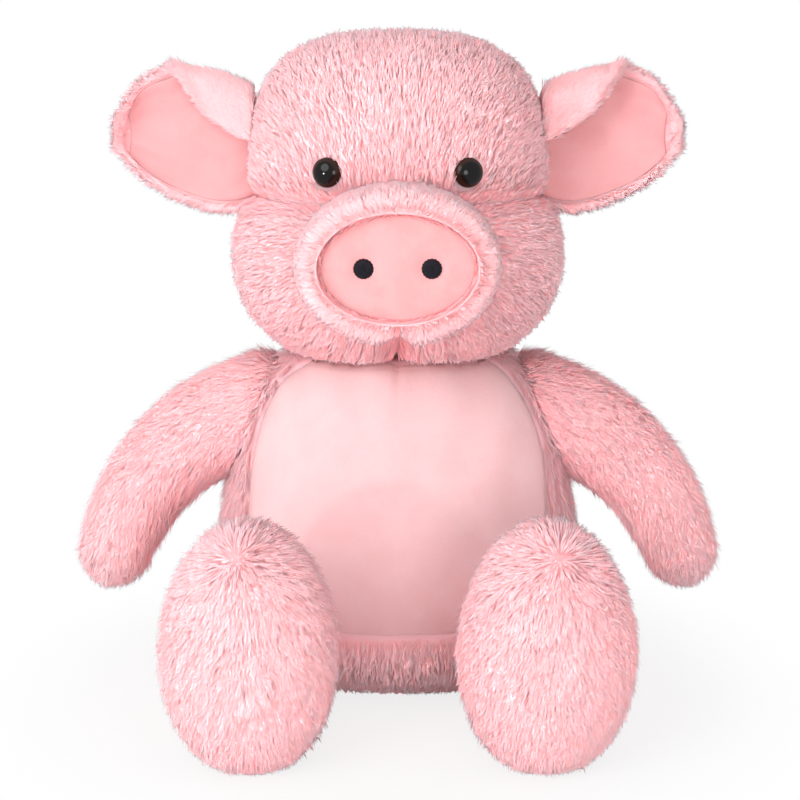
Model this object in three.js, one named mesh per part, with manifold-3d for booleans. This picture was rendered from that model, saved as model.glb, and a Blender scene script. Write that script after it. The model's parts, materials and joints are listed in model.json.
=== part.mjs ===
// Plush pig, seated: fur casings over loose fibre filling, with a smooth belly, snout and ear
// linings, moulded safety eyes locked by washers, and embroidered nostrils.
// Millimetres, +Z up. The toy faces -Y. Left and right are the toy's own, so left is +X.
// The pieces are worked out about the torso's upright axis, with the floor at z = 0, and the
// finished group has its origin on the floor under the middle of the toy's outer box.
import * as THREE from "three";
import { mergeVertices } from "three/addons/utils/BufferGeometryUtils.js";
import Module from "manifold-3d";

// Fabrics and gaps
const PILE = 7; // fur fabric, backing and packed pile together
const BACKING = 3; // fur fabric where it is pressed flat
const VELOUR = 2.4; // smooth short fabric
const FIT = 0.4; // between pieces that touch
const SWING_GAP = 0.9; // round a root that turns in its seat
const OVERRUN = 30; // how far a cutting tool runs past what it cuts
const WELD = 0.0001; // corners nearer than this are one corner

// Torso
const TORSO_WIDTH = 162;
const TORSO_DEPTH = 124;
const TORSO_HEIGHT = 146;
const BELLY_WIDTH = 130;
const BELLY_SEAM_HEIGHT = 31; // of the belly panel's lower edge
const BELLY_TOP_DROP = 6; // of its upper edge, below the neck
const BELLY_RECESS = 2.5; // it lies below the fur's tips
const NECK_DIAMETER = 44;
const NECK_RISE = 14; // of the filling that stands up into the head
const PELLET_BAG_WIDTH = 72;
const PELLET_BAG_DEPTH = 52;
const PELLET_BAG_HEIGHT = 20;
const PELLET_BAG_BACK = 14; // its middle, behind the torso's axis

// Head: cheeks below the brow seam, crown above it
const HEAD_FORWARD = 8; // the head's middle, in front of the neck's axis
const CHEEKS_WIDTH = 143;
const CHEEKS_DEPTH = 122;
const CHEEKS_HEIGHT = 67;
const CROWN_WIDTH = 128;
const CROWN_DEPTH = 116;
const CROWN_HEIGHT = 69;
const BROW_TUCK = 3; // how far the crown's edge is tucked below the brow seam

// Muzzle, a short padded oval tube closed by the snout disc
const MUZZLE_WIDTH = 79;
const MUZZLE_TALL = 62;
const MUZZLE_REACH = 30; // of its front, past the front of the cheeks
const MUZZLE_ROOT = 30; // how far its form runs back into the head
const MUZZLE_RISE = 46; // its middle, above the head's underside
const SNOUT_WIDTH = 61;
const SNOUT_TALL = 41;
const SNOUT_THICK = 5;
const SNOUT_CROWN = 4; // how far the disc bulges
const SNOUT_INSET = 2; // of the bulge's top, behind the muzzle's front
const NOSTRIL_DIAMETER = 8.4;
const NOSTRIL_THICK = 2;
const NOSTRIL_SPACING = 26;
const NOSTRIL_PROUD = 0.4; // its face, in front of the bulge's top

// Safety eyes and their lock washers
const EYE_DIAMETER = 12;
const EYE_DOME = 5;
const EYE_RIM = 1.2;
const EYE_SINK = 2.6; // the rim's underside, below the fur's tips
const EYE_SPACING = 57;
const EYE_RISE = 13; // above the brow seam
const SHANK_DIAMETER = 3.6;
const SHANK_LENGTH = 12;
const SHANK_RIDGE = 0.35;
const WASHER_DIAMETER = 14;
const WASHER_THICK = 1.6;

// Ears: a fur back with a smooth lining, the upper edge folded forward at the root
const EAR_LENGTH = 56;
const EAR_HEIGHT = 58;
const EAR_FUR = 5;
const EAR_LINING = 1.4;
const EAR_LINING_INSET = 3.4;
const EAR_FOLD_RADIUS = 6;
const EAR_FLAP = 14; // straight part of the fold, at the root
const EAR_CUP = 8; // how far the rim curves forward
const EAR_ROOT_DIAMETER = 17;
const EAR_ROOT_LENGTH = 38;
const EAR_RISE = 18; // the root's middle, above the brow seam
const EAR_BACK = 3; // the root's middle, behind the head's middle
const EAR_SINK = 3; // the root's axis, inside the head's side

// Arms
const ARM_REACH = 67; // sideways, from the shoulder's centre to the tip's
const ARM_DROP = 60;
const ARM_FORWARD = 14;
const ARM_BOW = 12; // how far the arm bows outwards
const ARM_THICK = 36;
const SHOULDER_DIAMETER = 50;
const SHOULDER_THICK = 44;
const SHOULDER_DROP = 26; // below the torso's top
const SHOULDER_INSET = 9; // its centre, inside the torso's side
const ARM_MOUTH = 14; // opening of the arm's root, towards the torso

// Legs and feet
const HIP_DIAMETER = 56;
const HIP_SPACING = 100;
const HIP_HEIGHT = 31;
const HIP_FORWARD = 46;
const HIP_MOUTH = 20; // opening of the leg's root, towards the torso
const LEG_DIAMETER = 52;
const FOOT_SPACING = 115;
const FOOT_WIDTH = 68;
const FOOT_TALL = 100;
const FOOT_THICK = 50;
const FOOT_FORWARD = 117; // the foot's middle, in front of the torso's axis
const SOLE_BULGE = 19; // how far the sole stands in front of its seam
const HEEL_FLAT = 1.5; // how far the heel is pressed flat

// Curly tail
const TAIL_THICK = 7.5;
const TAIL_CURL_DIAMETER = 15;
const TAIL_STEM = 11; // straight part, from the root's centre
const TAIL_REACH = 16; // of the curl, past the stem
const TAIL_ROOT_DIAMETER = 14;
const TAIL_ROOT_SINK = 3; // its centre, inside the torso's back
const TAIL_HEIGHT = 50;

// How far the roots turn, in degrees
const ARM_LOWERS = 8;
const ARM_LIFTS = 45;
const EAR_TURNS = 22;

// Outlines, as shares of the sizes above: [height, width, depth] of each level
const TORSO_SHARES = [
  [0, 0.64, 0.68],
  [0.035, 0.765, 0.8],
  [0.11, 0.895, 0.915],
  [0.24, 0.985, 0.985],
  [0.4, 1, 1],
  [0.6, 0.945, 0.955],
  [0.78, 0.86, 0.87],
  [0.9, 0.75, 0.78],
  [0.975, 0.62, 0.68],
  [1, 0.53, 0.6],
];
const CHEEKS_SHARES = [
  [0, 0.53, 0.54],
  [0.03, 0.65, 0.66],
  [0.15, 0.81, 0.83],
  [0.31, 0.93, 0.94],
  [0.52, 0.995, 1],
  [0.74, 0.99, 0.99],
  [0.9, 0.945, 0.955],
  [1, 0.875, 0.895],
];
const CROWN_SHARES = [
  [0, 0.955, 0.955],
  [0.12, 0.995, 1],
  [0.35, 0.985, 0.985],
  [0.6, 0.935, 0.935],
  [0.78, 0.83, 0.825],
  [0.9, 0.66, 0.65],
  [0.97, 0.46, 0.45],
  [1, 0.24, 0.24],
];
const PELLET_BAG_SHARES = [
  [0, 0.86, 0.86],
  [0.25, 1, 1],
  [0.6, 0.9, 0.9],
  [0.88, 0.6, 0.6],
  [1, 0.25, 0.25],
];
// [reach, width, tall] of forms that face the front
const MUZZLE_SHARES = [
  [0, 0.94, 0.94],
  [0.45, 0.98, 0.98],
  [0.7, 1, 1],
  [0.85, 0.985, 0.975],
  [0.95, 0.93, 0.91],
  [1, 0.84, 0.76],
];
const SNOUT_SHARES = [
  [0, 1, 1],
  [0.5, 1, 1],
  [0.75, 0.92, 0.92],
  [0.92, 0.68, 0.68],
  [1, 0.3, 0.3],
];
const FOOT_SHARES = [
  [0, 0.3, 0.3],
  [0.07, 0.57, 0.58],
  [0.2, 0.82, 0.84],
  [0.36, 0.97, 0.98],
  [0.5, 1, 1],
  [0.64, 0.97, 0.98],
  [0.8, 0.82, 0.84],
  [0.93, 0.57, 0.58],
  [1, 0.3, 0.3],
];
// Half of the belly panel: [height above its lower seam, half width]
const BELLY_SHARES = [
  [0, 0],
  [0.015, 0.42],
  [0.1, 0.78],
  [0.27, 0.97],
  [0.5, 1],
  [0.8, 0.92],
  [1, 0.8],
];
// Arm: [distance along it, thickness]
const ARM_SHARES = [
  [0, 1.28],
  [0.3, 1.22],
  [0.6, 1.08],
  [0.85, 0.96],
  [1, 0.86],
];
// Leg: [distance from the hip to the foot's middle, thickness]
const LEG_SHARES = [
  [0, 0.98],
  [0.3, 0.95],
  [0.6, 0.99],
  [0.8, 1.1],
  [1, 1.2],
];
const ARM_TIP_SHARE = 0.4; // reach of the tip's dome, of the arm's thickness
// Ear, from root to tip: how far it reaches down and up from the root's middle, of its height
const EAR_DOWN_SHARES = [0.335, 0.385, 0.385, 0.34, 0.27, 0.165, 0];
const EAR_UP_SHARES = [0.285, 0.355, 0.405, 0.44, 0.52, 0.49, 0.26];
const EAR_FLAP_SHARES = [1, 0.85, 0.55, 0.2, 0, 0, 0];
const EAR_CURL_SHARES = [1, 1, 1, 0.7, 0.15, 0, 0];
const EAR_CURL_ANGLE = Math.PI * 0.93;
const EAR_TIP_FUR_SHARE = 0.5; // thickness at the tip
const TAIL_TIP_SHARE = 0.5;
const TAIL_TURNS = 1.35;
const SQUARENESS = 2.3; // of level sections: 2 is an ellipse
const SHANK_RIDGE_STEPS = 3;
const SHANK_RIDGE_SHARE = 0.5; // of a ridge's pitch

// Fineness
const AROUND_STEPS = 22;
const LIMB_AROUND_STEPS = 14;
const ROOT_AROUND_STEPS = 14;
const SMALL_AROUND_STEPS = 10;
const TORSO_LEVELS = 10;
const HEAD_LEVELS = 7;
const MUZZLE_LEVELS = 5;
const SNOUT_LEVELS = 4;
const FOOT_LEVELS = 7;
const BAG_LEVELS = 4;
const ARM_LEVELS = 5;
const DOME_LEVELS = 2;
const LIFT_STEPS = 3;
const BELLY_STEPS = 12;
const EAR_STRAIGHT_STEPS = 6;
const EAR_FOLD_STEPS = 4;
const EAR_ALONG_STEPS = 8;
const TAIL_STEPS = 16;
const TAIL_AROUND_STEPS = 6;

const wasm = await Module();
wasm.setup();

const at = (x, y, z) => new THREE.Vector3(x, y, z);
const UP = at(0, 0, 1);
const ACROSS = at(1, 0, 0);
const AHEAD = at(0, -1, 0);
const FULL_TURN = 2 * Math.PI;

// Materials
const finish = (color, roughness) => new THREE.MeshStandardMaterial({ color, roughness, metalness: 0 });
const FUR = finish("#f7b9be", 0.95);
const SMOOTH = finish("#f9bdb9", 0.85);
const FIBRE = finish("#f6f3ee", 1);
const CALICO = finish("#e9e0cf", 0.9);
const EYE_BLACK = finish("#0d0b0c", 0.08);
const THREAD_BLACK = finish("#15151c", 0.7);
const WASHER_WHITE = finish("#e8e8e4", 0.4);

const solidOf = (numProp, vertProperties, triVerts) =>
  new wasm.Manifold(new wasm.Mesh({ numProp, vertProperties, triVerts }));

// A closed geometry as a solid that can be joined and cut, its faces turned outwards.
function solid(geometry) {
  const bare = geometry.clone();
  bare.deleteAttribute("normal");
  bare.deleteAttribute("uv");
  const merged = mergeVertices(bare, WELD);
  const corners = merged.index.array;
  const kept = [];
  for (let i = 0; i < corners.length; i += 3) {
    const [a, b, c] = [corners[i], corners[i + 1], corners[i + 2]];
    if (a !== b && b !== c && c !== a) kept.push(a, b, c);
  }
  const { itemSize, array } = merged.attributes.position;
  const body = solidOf(itemSize, array, new Uint32Array(kept));
  return body.volume() > 0 ? body : solidOf(itemSize, array, new Uint32Array(kept.reverse()));
}

// A solid as a geometry whose own origin is at a point.
function geometryOf(body, origin) {
  const { vertProperties, triVerts, numProp } = body.getMesh();
  const geometry = new THREE.BufferGeometry();
  geometry.setAttribute("position", new THREE.BufferAttribute(vertProperties, numProp));
  geometry.setIndex(new THREE.BufferAttribute(triVerts, 1));
  geometry.translate(-origin.x, -origin.y, -origin.z);
  geometry.computeVertexNormals();
  return geometry;
}

const joined = (first, ...others) => others.reduce((sum, body) => sum.add(body), first);
const cut = (body, ...tools) => tools.reduce((left, tool) => left.subtract(tool), body);

// The same solid on the toy's other side.
function mirrored(body) {
  const { vertProperties, triVerts, numProp } = body.getMesh();
  const flipped = vertProperties.map((value, i) => (i % numProp === 0 ? -value : value));
  return solidOf(numProp, flipped, triVerts.toReversed());
}

// The same solid turned about an axis through a point, in degrees.
function swung(body, centre, axis, degrees) {
  const { vertProperties, triVerts, numProp } = body.getMesh();
  const corners = new THREE.BufferAttribute(vertProperties.slice(), numProp);
  const turn = new THREE.Matrix4().makeRotationAxis(axis, THREE.MathUtils.degToRad(degrees));
  const there = new THREE.Matrix4().setPosition(centre);
  const back = there.clone().invert();
  corners.applyMatrix4(there.multiply(turn).multiply(back));
  return solidOf(numProp, corners.array, triVerts);
}

// The end of a round ring: a fan about its middle. It faces the way that the ring turns.
function fan(points, first, around) {
  const ringPoints = points.slice(first, first + around);
  const hub = points.push(ringPoints.reduce((sum, p) => sum.add(p), at(0, 0, 0)).divideScalar(around)) - 1;
  return ringPoints.map((_, k) => [hub, first + k, first + ((k + 1) % around)]);
}

// The end of a ring that runs out along a sheet and back: a strip across the sheet's thickness.
function strip(points, first, around) {
  return Array.from({ length: around / 2 - 1 }, (_, k) => {
    const [a, b] = [first + k, first + k + 1];
    const [c, d] = [first + around - 2 - k, first + around - 1 - k];
    return [a, b, c, a, c, d];
  });
}

// Rings of points, one after the other, closed at both ends.
function skin(rings, end = fan) {
  const around = rings[0].length;
  const points = rings.flat();
  const last = points.length - around;
  const index = [];
  for (let k = 0; k < last; k += 1) {
    const next = k - (k % around) + ((k + 1) % around);
    index.push(k, next, next + around, k, next + around, k + around);
  }
  index.push(...end(points, 0, around).flat().reverse(), ...end(points, last, around).flat());
  const geometry = new THREE.BufferGeometry().setFromPoints(points);
  geometry.setIndex(index);
  return solid(geometry);
}

// One rounded oval ring of points. Its half axes are the two directions given.
function ring(centre, right, up, squareness, around) {
  const bend = (c) => Math.sign(c) * Math.abs(c) ** (2 / squareness);
  return Array.from({ length: around }, (_, k) => {
    const angle = (k / around) * FULL_TURN;
    const point = centre.clone().addScaledVector(right, bend(Math.cos(angle)));
    return point.addScaledVector(up, bend(Math.sin(angle)));
  });
}

// Levels along one smooth curve: z is the share of the height, x of the width, y of the depth.
function levelsOf(shares, count) {
  const points = shares.map(([height, width, depth]) => at(width, depth, height));
  return new THREE.CatmullRomCurve3(points, false, "centripetal").getSpacedPoints(count);
}

// A stuffed form of level ovals, standing on its base.
function upright(levels, { y = 0, base, height, width, depth }) {
  return skin(
    levels.map((level) => {
      const centre = at(0, y, base + level.z * height);
      const right = ACROSS.clone().multiplyScalar((level.x * width) / 2);
      const ahead = AHEAD.clone().multiplyScalar((level.y * depth) / 2);
      return ring(centre, right, ahead, SQUARENESS, AROUND_STEPS);
    }),
  );
}

// A form of ovals that face the front, from its back to its front.
function facing(levels, { x = 0, z, back, reach, width, tall }) {
  return skin(
    levels.map((level) => {
      const centre = at(x, back - level.z * reach, z);
      const right = ACROSS.clone().multiplyScalar((level.x * width) / 2);
      const up = UP.clone().multiplyScalar((level.y * tall) / 2);
      return ring(centre, right, up, 2, AROUND_STEPS);
    }),
  );
}

// A lathe whose axis starts at a point and runs along a direction. Outline: [radius, height].
function turned(outline, start, direction, around) {
  const lathe = new THREE.LatheGeometry(outline.map(([r, h]) => new THREE.Vector2(r, h)), around);
  const tilt = new THREE.Quaternion().setFromUnitVectors(at(0, 1, 0), direction.clone().normalize());
  lathe.applyQuaternion(tilt);
  lathe.translate(start.x, start.y, start.z);
  return solid(lathe);
}

// A round bar from one point to another.
function bar(start, end, diameter, around = ROOT_AROUND_STEPS) {
  const length = start.distanceTo(end);
  const outline = [[0, 0], [diameter / 2, 0], [diameter / 2, length], [0, length]];
  return turned(outline, start, end.clone().sub(start), around);
}

// A rounded root: half an oval turned about the axis on which it swings.
function root(centre, axis, diameter, thick) {
  const steps = ROOT_AROUND_STEPS / 2;
  const outline = Array.from({ length: steps + 1 }, (_, k) => {
    const angle = (k / steps - 1 / 2) * Math.PI;
    const onAxis = k === 0 || k === steps;
    return [onAxis ? 0 : (diameter / 2) * Math.cos(angle), (thick / 2) * Math.sin(angle)];
  });
  return turned(outline, centre, axis, ROOT_AROUND_STEPS);
}

// A box between two corners.
function block(low, high) {
  const size = high.clone().sub(low);
  const middle = low.clone().add(high).divideScalar(2);
  return solid(new THREE.BoxGeometry(size.x, size.y, size.z).translate(middle.x, middle.y, middle.z));
}

// Torso

const TORSO_CURVE = levelsOf(TORSO_SHARES, TORSO_LEVELS);
const TORSO = { base: 0, height: TORSO_HEIGHT, width: TORSO_WIDTH, depth: TORSO_DEPTH };

// The torso's form, larger all round by the amount given, or smaller where that is negative.
function torsoForm(more) {
  return upright(TORSO_CURVE, {
    base: -more,
    height: TORSO_HEIGHT + 2 * more,
    width: TORSO_WIDTH + 2 * more,
    depth: TORSO_DEPTH + 2 * more,
  });
}

// Half the width and half the depth of a form of levels, at a height.
function halfSizes(curve, { base, height, width, depth }, z) {
  const share = (z - base) / height;
  const above = curve.findIndex((level) => level.z > share);
  const [low, high] = [curve[above - 1], curve[above]];
  const level = low.clone().lerp(high, (share - low.z) / (high.z - low.z));
  return [(level.x * width) / 2, (level.y * depth) / 2];
}

const SHOULDER_LEVEL = TORSO_HEIGHT - SHOULDER_DROP;
const [TORSO_SIDE_AT_SHOULDER] = halfSizes(TORSO_CURVE, TORSO, SHOULDER_LEVEL);
const [, TORSO_BACK_AT_TAIL] = halfSizes(TORSO_CURVE, TORSO, TAIL_HEIGHT);
const NECK = at(0, 0, TORSO_HEIGHT);
const SHOULDER = at(TORSO_SIDE_AT_SHOULDER - SHOULDER_INSET, 0, SHOULDER_LEVEL);
const HIP = at(HIP_SPACING / 2, -HIP_FORWARD, HIP_HEIGHT);
const TAIL_ROOT = at(0, TORSO_BACK_AT_TAIL - TAIL_ROOT_SINK, TAIL_HEIGHT);

const shoulderRoot = (more) =>
  root(SHOULDER, AHEAD, SHOULDER_DIAMETER + 2 * more, SHOULDER_THICK + 2 * more);
const hipRoot = (more) => root(HIP, UP, HIP_DIAMETER + 2 * more, HIP_DIAMETER + 2 * more);
const tailRoot = (more) =>
  root(TAIL_ROOT, UP, TAIL_ROOT_DIAMETER + 2 * more, TAIL_ROOT_DIAMETER + 2 * more);

// What turns in a seat in the torso, as the tools that cut the seats.
const TORSO_SEATS = [
  shoulderRoot(SWING_GAP),
  mirrored(shoulderRoot(SWING_GAP)),
  hipRoot(SWING_GAP),
  mirrored(hipRoot(SWING_GAP)),
  tailRoot(SWING_GAP),
];

// The filling in the neck, or with a gap round it the opening for it.
function neckFilling(more) {
  const low = at(0, 0, TORSO_HEIGHT - 2 * PILE);
  const high = at(0, 0, TORSO_HEIGHT + NECK_RISE + more);
  return bar(low, high, NECK_DIAMETER + 2 * more);
}

// Everything inside the belly panel's outline, in front of the torso's axis.
function insideBellySeam(less) {
  const rise = TORSO_HEIGHT - BELLY_TOP_DROP - BELLY_SEAM_HEIGHT - 2 * less;
  const halfWidth = BELLY_WIDTH / 2 - less;
  const half = BELLY_SHARES.map(
    ([height, width]) => new THREE.Vector2(width * halfWidth, BELLY_SEAM_HEIGHT + less + height * rise),
  );
  const left = new THREE.SplineCurve(half).getPoints(BELLY_STEPS);
  const right = left.slice(1).reverse().map((p) => new THREE.Vector2(-p.x, p.y));
  const outline = new THREE.Shape([...left, ...right]);
  const panel = new THREE.ExtrudeGeometry(outline, { depth: TORSO_DEPTH, bevelEnabled: false });
  return solid(panel.rotateX(Math.PI / 2));
}

function pelletBag(more) {
  return upright(levelsOf(PELLET_BAG_SHARES, BAG_LEVELS), {
    y: PELLET_BAG_BACK,
    base: PILE + FIT,
    height: PELLET_BAG_HEIGHT + more,
    width: PELLET_BAG_WIDTH + 2 * more,
    depth: PELLET_BAG_DEPTH + 2 * more,
  });
}

function bodyCasing() {
  const shell = cut(torsoForm(0), torsoForm(-PILE));
  return cut(shell, insideBellySeam(0), neckFilling(FIT), ...TORSO_SEATS);
}

function bellyPanel() {
  const sheet = cut(torsoForm(-BELLY_RECESS), torsoForm(-BELLY_RECESS - VELOUR));
  return cut(sheet.intersect(insideBellySeam(FIT)), ...TORSO_SEATS);
}

const bodyStuffing = () =>
  cut(joined(torsoForm(-PILE - FIT), neckFilling(0)), pelletBag(FIT), ...TORSO_SEATS);

// Head

const HEAD_BASE = TORSO_HEIGHT + FIT;
const BROW = HEAD_BASE + CHEEKS_HEIGHT;
const CHEEKS_CURVE = levelsOf(CHEEKS_SHARES, HEAD_LEVELS);
const CROWN_CURVE = levelsOf(CROWN_SHARES, HEAD_LEVELS);
const CROWN = {
  y: -HEAD_FORWARD,
  base: BROW - BROW_TUCK,
  height: CROWN_HEIGHT + BROW_TUCK,
  width: CROWN_WIDTH,
  depth: CROWN_DEPTH,
};

function headForm(more) {
  const cheeks = upright(CHEEKS_CURVE, {
    y: -HEAD_FORWARD,
    base: HEAD_BASE - more,
    height: CHEEKS_HEIGHT + more,
    width: CHEEKS_WIDTH + 2 * more,
    depth: CHEEKS_DEPTH + 2 * more,
  });
  const crown = upright(CROWN_CURVE, {
    ...CROWN,
    height: CROWN.height + more,
    width: CROWN.width + 2 * more,
    depth: CROWN.depth + 2 * more,
  });
  return joined(cheeks, crown);
}

// The point of the crown's front at a distance from the middle and a height.
function crownFront(x, z) {
  const [halfWidth, halfDepth] = halfSizes(CROWN_CURVE, CROWN, z);
  const slope = 1 - (x / halfWidth) ** SQUARENESS;
  return at(x, CROWN.y - halfDepth * slope ** (1 / SQUARENESS), z);
}

const CHEEKS_FRONT = -HEAD_FORWARD - CHEEKS_DEPTH / 2;
const MUZZLE_FRONT = CHEEKS_FRONT - MUZZLE_REACH;
const MUZZLE_BACK = CHEEKS_FRONT + MUZZLE_ROOT;
const MUZZLE_LEVEL = HEAD_BASE + MUZZLE_RISE;
const SNOUT_FRONT = MUZZLE_FRONT + SNOUT_INSET;
const SNOUT_BACK = SNOUT_FRONT + SNOUT_CROWN + SNOUT_THICK;

// A straight oval of the snout's outline, between two depths.
function snoutOval(back, front, more) {
  const width = SNOUT_WIDTH + 2 * more;
  const tall = SNOUT_TALL + 2 * more;
  return facing([at(1, 1, 0), at(1, 1, 1)], { z: MUZZLE_LEVEL, back, reach: back - front, width, tall });
}

const MUZZLE_BORE = snoutOval(MUZZLE_BACK, MUZZLE_FRONT - OVERRUN, FIT);

function muzzleRing() {
  const form = facing(levelsOf(MUZZLE_SHARES, MUZZLE_LEVELS), {
    z: MUZZLE_LEVEL,
    back: MUZZLE_BACK,
    reach: MUZZLE_BACK - MUZZLE_FRONT,
    width: MUZZLE_WIDTH,
    tall: MUZZLE_TALL,
  });
  return cut(form, headForm(FIT), MUZZLE_BORE);
}

function nostril(more) {
  const face = at(NOSTRIL_SPACING / 2, SNOUT_FRONT - NOSTRIL_PROUD, MUZZLE_LEVEL);
  const back = face.clone().addScaledVector(AHEAD, -NOSTRIL_THICK - more);
  return bar(back, face.addScaledVector(AHEAD, more), NOSTRIL_DIAMETER + 2 * more, SMALL_AROUND_STEPS);
}

function snoutDisc() {
  const disc = facing(levelsOf(SNOUT_SHARES, SNOUT_LEVELS), {
    z: MUZZLE_LEVEL,
    back: SNOUT_BACK,
    reach: SNOUT_BACK - SNOUT_FRONT,
    width: SNOUT_WIDTH,
    tall: SNOUT_TALL,
  });
  return cut(disc, nostril(FIT), mirrored(nostril(FIT)));
}

// Each eye looks straight out of the crown where it is set.
const EYE_SPOT = crownFront(EYE_SPACING / 2, BROW + EYE_RISE);
const EYE_LOOK = crownFront(EYE_SPOT.x + EYE_DIAMETER / 2, EYE_SPOT.z)
  .sub(crownFront(EYE_SPOT.x - EYE_DIAMETER / 2, EYE_SPOT.z))
  .cross(UP)
  .normalize();
const EYE_SEAT = EYE_SPOT.clone().addScaledVector(EYE_LOOK, -EYE_SINK);
const WASHER_DEPTH = PILE - EYE_SINK + FIT; // of its front face, below the eye's seat
const SHANK_BORE = SHANK_DIAMETER + 2 * SHANK_RIDGE + 2 * FIT;

// Half of the eye's outline, from the end of its ridged shank to the top of its dome.
function eyeOutline() {
  const shank = SHANK_DIAMETER / 2;
  const pitch = (SHANK_LENGTH - WASHER_DEPTH) / SHANK_RIDGE_STEPS;
  const outline = [[0, -SHANK_LENGTH]];
  for (let k = 0; k < SHANK_RIDGE_STEPS; k += 1) {
    const low = k * pitch - SHANK_LENGTH;
    outline.push([shank, low], [shank + SHANK_RIDGE, low + pitch * SHANK_RIDGE_SHARE]);
  }
  outline.push([shank, -WASHER_DEPTH], [shank, 0], [EYE_DIAMETER / 2, 0]);
  for (let k = 0; k <= DOME_LEVELS; k += 1) {
    const angle = ((k / (DOME_LEVELS + 1)) * Math.PI) / 2;
    const height = EYE_RIM + (EYE_DOME - EYE_RIM) * Math.sin(angle);
    outline.push([(EYE_DIAMETER / 2) * Math.cos(angle), height]);
  }
  outline.push([0, EYE_DOME]);
  return outline;
}

// A round hole between two depths below the eye's seat.
function eyeHole(from, to, diameter) {
  const start = EYE_SEAT.clone().addScaledVector(EYE_LOOK, -to);
  return bar(start, EYE_SEAT.clone().addScaledVector(EYE_LOOK, -from), diameter, SMALL_AROUND_STEPS);
}

const SHANK_HOLE = eyeHole(-FIT, SHANK_LENGTH + FIT, SHANK_BORE);
const washerRoom = (from, to) => eyeHole(from, to, WASHER_DIAMETER + 2 * FIT);
const EYE_IN_FUR = joined(
  eyeHole(-OVERRUN, FIT, EYE_DIAMETER + 2 * FIT),
  SHANK_HOLE,
  washerRoom(WASHER_DEPTH - FIT, WASHER_DEPTH + PILE),
);
const EYE_IN_FILLING = joined(washerRoom(-OVERRUN, WASHER_DEPTH + WASHER_THICK + FIT), SHANK_HOLE);

const eye = () => turned(eyeOutline(), EYE_SEAT, EYE_LOOK, SMALL_AROUND_STEPS);
const eyeWasher = () =>
  cut(eyeHole(WASHER_DEPTH, WASHER_DEPTH + WASHER_THICK, WASHER_DIAMETER), SHANK_HOLE);

// Ears

const EAR_LEVEL = BROW + EAR_RISE;
const [CROWN_SIDE_AT_EAR] = halfSizes(CROWN_CURVE, CROWN, EAR_LEVEL);
const EAR_ROOT = at(CROWN_SIDE_AT_EAR - EAR_SINK, EAR_BACK - HEAD_FORWARD, EAR_LEVEL);

function earRoot(more) {
  const half = at(0, 0, EAR_ROOT_LENGTH / 2 + more);
  return bar(EAR_ROOT.clone().sub(half), EAR_ROOT.clone().add(half), EAR_ROOT_DIAMETER + 2 * more);
}

// One of a row of shares, read as a smooth curve from 0 at the root to 1 at the tip.
function shareAt(shares, along) {
  const curve = new THREE.SplineCurve(shares.map((share, k) => new THREE.Vector2(k, share)));
  return Math.max(0, curve.getPoint(along).y);
}

// A row across the ear, where its fur and its lining meet: each point, and the way that the
// lining faces there. It runs up the ear, then round the fold and down the flap in front.
function earRow(along, inset) {
  const down = shareAt(EAR_DOWN_SHARES, along) * EAR_HEIGHT;
  const straight = down + shareAt(EAR_UP_SHARES, along) * EAR_HEIGHT;
  const curl = shareAt(EAR_CURL_SHARES, along) * EAR_CURL_ANGLE;
  const arc = curl * EAR_FOLD_RADIUS;
  const flap = shareAt(EAR_FLAP_SHARES, along) * EAR_FLAP;
  const whole = straight + arc + flap;
  const runs = [inset];
  const stretches = [
    [0, straight, EAR_STRAIGHT_STEPS],
    [straight, arc, EAR_FOLD_STEPS],
    [straight + arc, flap, 1],
  ];
  for (const [start, length, steps] of stretches) {
    for (let k = 1; k <= steps; k += 1) {
      runs.push(THREE.MathUtils.clamp(start + (length * k) / steps, inset, whole - inset));
    }
  }
  return runs.map((run) => {
    const angle = THREE.MathUtils.clamp((run - straight) / EAR_FOLD_RADIUS, 0, curl);
    const beyond = Math.max(0, run - straight - arc);
    const cup = EAR_CUP * along ** 2 * ((2 * run) / whole - 1) ** 2;
    const y = -EAR_FOLD_RADIUS * (1 - Math.cos(angle)) - beyond * Math.sin(angle) - cup;
    const curled = EAR_FOLD_RADIUS * Math.sin(angle) + beyond * Math.cos(angle);
    const z = Math.min(run, straight) - down + curled;
    return [at(along * EAR_LENGTH, y, z).add(EAR_ROOT), at(0, -Math.cos(angle), -Math.sin(angle))];
  });
}

// A layer of the ear, between two distances in front of the surface where fur and lining meet.
function earLayer(behind, front, inset) {
  const rings = [];
  for (let i = 0; i <= EAR_ALONG_STEPS; i += 1) {
    const along = Math.min(i / EAR_ALONG_STEPS, 1 - inset / EAR_LENGTH);
    const thin = behind < 0 ? 1 - (1 - EAR_TIP_FUR_SHARE) * along ** 3 : 1;
    const row = earRow(along, inset);
    const backRow = row.map(([point, lookout]) => point.clone().addScaledVector(lookout, behind * thin));
    const frontRow = row.map(([point, lookout]) => point.clone().addScaledVector(lookout, front));
    rings.push([...backRow, ...frontRow.reverse()]);
  }
  return skin(rings, strip);
}

// What of an ear's layer stays clear of the head, wherever the ear is turned.
function clearOfHead(layer) {
  const head = headForm(FIT);
  return cut(layer, ...[-EAR_TURNS, 0, EAR_TURNS].map((turn) => swung(head, EAR_ROOT, UP, turn)));
}

const earBack = () => joined(earRoot(0), clearOfHead(earLayer(-EAR_FUR, 0, 0)));

function earLining() {
  const sheet = cut(earLayer(0, FIT + EAR_LINING, EAR_LINING_INSET), earLayer(-EAR_FUR, FIT, 0));
  return cut(clearOfHead(sheet), earRoot(FIT));
}

function headCasing() {
  const shell = cut(headForm(0), headForm(-PILE));
  const sides = [EYE_IN_FUR, earRoot(SWING_GAP)];
  return cut(shell, neckFilling(SWING_GAP), MUZZLE_BORE, ...sides, ...sides.map(mirrored));
}

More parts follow.
